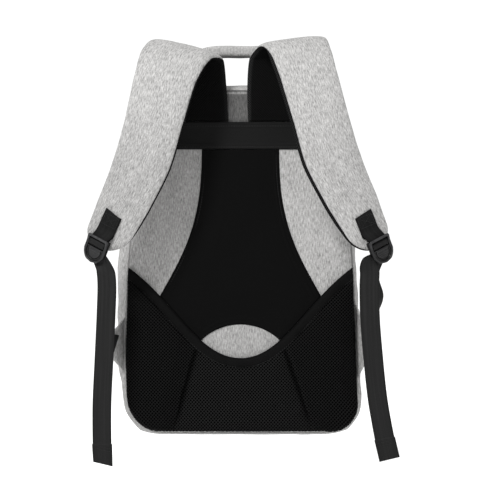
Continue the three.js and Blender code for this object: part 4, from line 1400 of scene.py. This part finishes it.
def anchor_tab(side):
    seam, apex = anchor_stations(side)
    rows, cols = TAB_GRID
    down = np.linspace(0, 1, cols)[None, :, None]
    out = np.linspace(0, 1, rows)[:, None, None]
    edges = [ends[0] * (1 - down) + ends[1] * down for ends in (seam, apex)]
    middle = edges[0] * (1 - out) + edges[1] * out
    normal = grid_normals(middle)
    width = np.linalg.norm(middle[:, :1] - middle[:, -1:], axis=-1)
    from_sides = np.minimum(down, 1 - down)[..., 0] * width
    distance = np.minimum(from_sides, np.minimum(out, 1 - out)[..., 0] * TAB.length)
    thickness = TAB.thickness / 2 * np.sqrt(np.clip(distance / TAB.round, LEAST_SHARE, 1))
    thickness = thickness + TAB_HEM.height * bump(distance - TAB_HEM.inset, TAB_HEM.width)
    sag = folds("tab", middle)
    front = middle + normal * (sag + thickness)[..., None]
    back = middle + normal * (sag - thickness)[..., None]
    flat = flat_places(out[..., 0] * TAB.length, middle[..., 2])
    piece = add_mesh(f"anchor_tab_{side}", plate(front, back, flat), HEATHER)
    seams = []
    for number, (surface, facing) in enumerate(((front, normal), (back, -normal))):
        name = f"tab_stitches_{side}_{number}"
        seams.append(stitching(name, tab_seam(surface), tab_seam(facing), GREY_THREAD, pitch=3.0, radius=0.3))
    return piece, seams


def adjuster(side):
    own = buckle_frame(side)
    seam, apex = anchor_stations(side)
    start, end = (np.mean(ends, axis=0) for ends in (seam, apex))
    run = unit(end - start)
    tab_across = unit(apex[0] - apex[1])
    inside = unit(np.cross(run, tab_across)) * OUTWARDS[side]
    lift = (TAB.thickness + WEBBING.thickness) / 2 + GAP
    sewn = [(end + run * along + inside * lift, tab_across) for along in TAB_APEX[side].sewn]
    threaded = [(in_frame(own, *row), -own.inward) for row in THREADING]
    shoulder = [((x, plane_depth(own, x, z, off), z), across) for (x, z), off, across in SHOULDER[side]]
    hung = shoulder + TAIL[side]
    (hem_top, hem_across), (hem_end, end_across) = hung[-2:]
    hem_top, hem_end, end_across = np.array(hem_top, float), np.array(hem_end, float), unit(end_across)
    hung.insert(-1, (hem_top * (1 - HEM.step) + hem_end * HEM.step, hem_across))
    stations = sewn + LOAD_RUN[side] + threaded + hung
    points = [np.array(point, float) for point, _ in stations]
    across = [unit(direction) for _, direction in stations]
    half = np.full(len(points), WEBBING.half, float)
    half[-len(hung):] += TAIL_WIDER[side]
    half[-2:] += HEM.extra
    thickness = np.full(len(points), WEBBING.thickness)
    thickness[-2:] *= HEM.share
    skin, length = webbing_skin(points, across, WEBBING_STEPS["adjuster"], half, thickness)
    print(f"adjuster_{side} is {length:.0f} mm long")
    piece = add_mesh(f"adjuster_{side}", skin, TAPE)
    seams = []
    for number, share in enumerate(HEM.seams):
        middle = hem_top * (1 - share) + hem_end * share + TO_WEARER * (WEBBING.thickness * HEM.share / 2)
        reach = end_across * HEM.seam_half
        path = np.linspace(middle - reach, middle + reach, HEM.seam_steps)
        name = f"hem_stitches_{side}_{number}"
        seams.append(stitching(name, path, TO_WEARER, BLACK_THREAD, pitch=2.2, radius=0.26))
    return piece, seams


def rounded_box(shape, low, high):
    """A box between two corners in a bmesh, with bevelled edges."""
    size = Vector(high) - Vector(low)
    middle = (Vector(high) + Vector(low)) / 2
    made = bmesh.ops.create_cube(shape, size=1.0)["verts"]
    for vertex in made:
        vertex.co = middle + vertex.co * size
    edges = list({edge for vertex in made for edge in vertex.link_edges})
    bmesh.ops.bevel(shape, geom=edges, offset=BUCKLE_BEVEL, segments=2, affect="EDGES", profile=0.5)


def bar(shape, a, b, radius):
    """A round bar between two points in a bmesh."""
    a, b = Vector(a), Vector(b)
    run = b - a
    turn = run.to_track_quat("Z", "Y").to_matrix().to_4x4()
    place = Matrix.Translation((a + b) / 2) @ turn
    bmesh.ops.create_cone(
        shape, cap_ends=True, segments=16, radius1=radius, radius2=radius, depth=run.length, matrix=place
    )


def slab(shape, edge, low, high):
    """A flat plate in a bmesh, from the right half of its outline in x and y."""
    outline = edge + [(-x, y) for x, y in edge[::-1] if x > 0]
    lower = [shape.verts.new((x, y, low)) for x, y in outline]
    upper = [shape.verts.new((x, y, high)) for x, y in outline]
    shape.faces.new(lower[::-1])
    shape.faces.new(upper)
    for k in range(len(outline)):
        shape.faces.new((lower[k - 1], lower[k], upper[k], upper[k - 1]))


def buckle_shape():
    """Ladder lock in its own frame: rails, bars across them, and a lip with a ribbed thumb plate."""
    shape = bmesh.new()
    half, clear = BUCKLE_SIDE.half, BUCKLE_SIDE.clear
    round_end = spline(BUCKLE_END, np.linspace(0, 1, BUCKLE_END_STEPS))
    for sign in (-1, 1):
        left, right = sorted((sign * half, sign * clear))
        rounded_box(shape, (left, *BUCKLE_RAIL.low), (right, *BUCKLE_RAIL.high))
        post = sign * (half + clear) / 2
        bar(shape, (post, *BUCKLE_POST.top), (post, *BUCKLE_POST.foot), BUCKLE_POST.radius)
        bead = [(sign * x, y, END_BEAD.off) for x, y in round_end * END_BEAD.shrink]
        for a, b in zip(bead, bead[1:]):
            bar(shape, a, b, END_BEAD.radius)
    rounded_box(shape, BUCKLE_CROSS.low, BUCKLE_CROSS.high)
    slab(shape, LIP.edge + [tuple(place) for place in round_end], LIP.low, LIP.high)
    slab(shape, THUMB.edge, THUMB.low, THUMB.high)
    for reach, up, off, radius in BUCKLE_BARS.values():
        bar(shape, (-reach, up, off), (reach, up, off), radius)
    return shape


def buckle(side):
    """The ladder lock on its strap, with its parts blended as a moulding is."""
    own = buckle_frame(side)
    mesh = bpy.data.meshes.new(f"buckle_{side}")
    shape = buckle_shape()
    shape.to_mesh(mesh)
    shape.free()
    axes = np.stack([-own.inward, -own.along, own.off], axis=1)
    placed = own.origin + mesh_points(mesh).astype(float) @ axes.T
    mesh.vertices.foreach_set("co", in_row_frame(placed).ravel())
    piece = add_object(mesh.name, mesh)
    blend = piece.modifiers.new("blend", "REMESH")
    blend.mode = "VOXEL"
    blend.voxel_size = BUCKLE_VOXEL * MM
    soften = piece.modifiers.new("soften", "SMOOTH")
    soften.factor = 0.5
    soften.iterations = 5
    whole = bpy.data.meshes.new_from_object(piece.evaluated_get(bpy.context.evaluated_depsgraph_get()))
    piece.modifiers.clear()
    piece.data = whole
    off = (mesh_points(whole) / MM + ROW_ORIGIN - own.origin) @ own.off
    # Painted shade in the low recesses, and a painted highlight on the rim as a negative shade
    shade = RECESS_SHADE.most * smooth((RECESS_SHADE.off - off) / RECESS_SHADE.fade)
    finish_mesh(whole, PLASTIC, shade - RIM_HIGHLIGHT.most * smooth((off - RIM_HIGHLIGHT.off) / RIM_HIGHLIGHT.fade))
    return piece, []


# Carry handle

def signed_power(values, power):
    return np.sign(values) * np.abs(values) ** power


def carry_handle():
    rows, cols = HANDLE_GRID
    foot = BAG_HEIGHT - HANDLE.sink
    rise = HANDLE.underside + HANDLE.grip / 2 - foot

    def arch(angles):
        x = -HANDLE.reach * signed_power(np.cos(angles), HANDLE.square)
        z = foot + rise * np.abs(np.sin(angles)) ** HANDLE.square
        return np.stack([x, np.full(len(angles), float(HANDLE.y)), z], axis=1)

    angles = np.linspace(0, math.pi, rows)
    middle = arch(angles)
    tangent = unit(arch(np.minimum(angles + SLOPE_STEP, math.pi)) - arch(np.maximum(angles - SLOPE_STEP, 0)))
    normal = np.stack([-tangent[:, 2], np.zeros(rows), tangent[:, 0]], axis=1)
    padded = np.clip((middle[:, 2] - foot) / rise, 0, 1) ** HANDLE.taper
    half = (HANDLE.leg + (HANDLE.grip - HANDLE.leg) * padded) / 2
    turn = np.linspace(0, 2 * math.pi, cols, endpoint=False)
    across = signed_power(np.cos(turn), HANDLE.round) * HANDLE.half
    off = signed_power(np.sin(turn), HANDLE.round)
    rings = (
        middle[:, None]
        + normal[:, None] * (half[:, None] * off)[..., None]
        + TO_FRONT * across[None, :, None]
    )
    rings = rings + unit(rings - middle[:, None]) * folds("handle", rings)[..., None]
    around = np.append(0, np.cumsum(np.hypot(np.diff(across), np.diff(off) * HANDLE.grip / 2)))
    flat = flat_places(run_lengths(middle)[:, None], np.minimum(around, around[-1] - around))
    under = HANDLE_SHADE.most * smooth((-off - HANDLE_SHADE.start) / HANDLE_SHADE.fade)
    shade = np.append(np.tile(under, rows), (0, 0))
    return add_mesh("carry_handle", tube(rings, flat), HEATHER, shade), []


# Putting the pieces on the frame

def dress(made, solid):
    """Puts a piece and its stitches on the frame in place of a solid."""
    piece, seams = made
    for each in (piece, *seams):
        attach(each, "root")
    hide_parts(solid)
    return piece


dress(bag_shell(), "bag_shell")
dress(back_panel(), "back_panel")
yoke = dress(yoke_band(), "yoke_band")
spine = dress(spine_panel(), "spine_panel")
dress(lumbar_pad(), "lumbar_pad")
dress(lumbar_binding(), "lumbar_binding")
dress(carry_handle(), "carry_handle")
for side in OUTWARDS:
    dress(strap_layer("face", side), f"strap_face_{side}")
    dress(strap_layer("lining", side), f"strap_lining_{side}")
    dress(strap_stub(side), f"strap_stub_{side}")
    dress(buckle(side), f"buckle_{side}")
    dress(anchor_tab(side), f"anchor_tab_{side}")
    dress(adjuster(side), f"adjuster_{side}")


# Floor, light and camera

def floor():
    mesh = bpy.data.meshes.new("floor")
    corners = [(-1, -1), (1, -1), (1, 1), (-1, 1)]
    places = [(x * FLOOR.reach, y * FLOOR.reach, FLOOR.height) for x, y in corners]
    mesh.from_pydata(places, [], [(0, 1, 2, 3)])
    material, _, _ = new_material(
        "pale_floor",
        Base_Color=(FLOOR.tone, FLOOR.tone, FLOOR.tone, 1),
        Roughness=FLOOR.roughness,
        Emission_Color=(1, 1, 1, 1),
        Emission_Strength=FLOOR.glow,
    )
    mesh.materials.append(material)
    add_object("floor", mesh)


def studio():
    world = bpy.data.worlds.new("studio")
    world.use_nodes = True
    background = world.node_tree.nodes["Background"]
    background.inputs["Color"].default_value = (1, 1, 1, 1)
    background.inputs["Strength"].default_value = SKY_STRENGTH
    bpy.context.scene.world = world
    light = bpy.data.lights.new("key", "AREA")
    light.shape = "DISK"
    light.size = KEY.size
    light.energy = KEY.power
    box = add_object("key", light)
    box.location = KEY.place
    box.rotation_euler = (Vector(KEY.aim) - Vector(KEY.place)).to_track_quat("-Z", "Y").to_euler()
    bpy.context.scene.view_settings.view_transform = "Standard"


def camera():
    lens = bpy.data.cameras.new("camera")
    lens.lens = CAMERA.lens
    lens.sensor_fit = "HORIZONTAL"
    lens.sensor_width = CAMERA.sensor
    eye = add_object("camera", lens)
    eye.location = CAMERA.place
    eye.rotation_euler = (math.pi / 2, 0, 0)
    bpy.context.scene.camera = eye


floor()
studio()
camera()
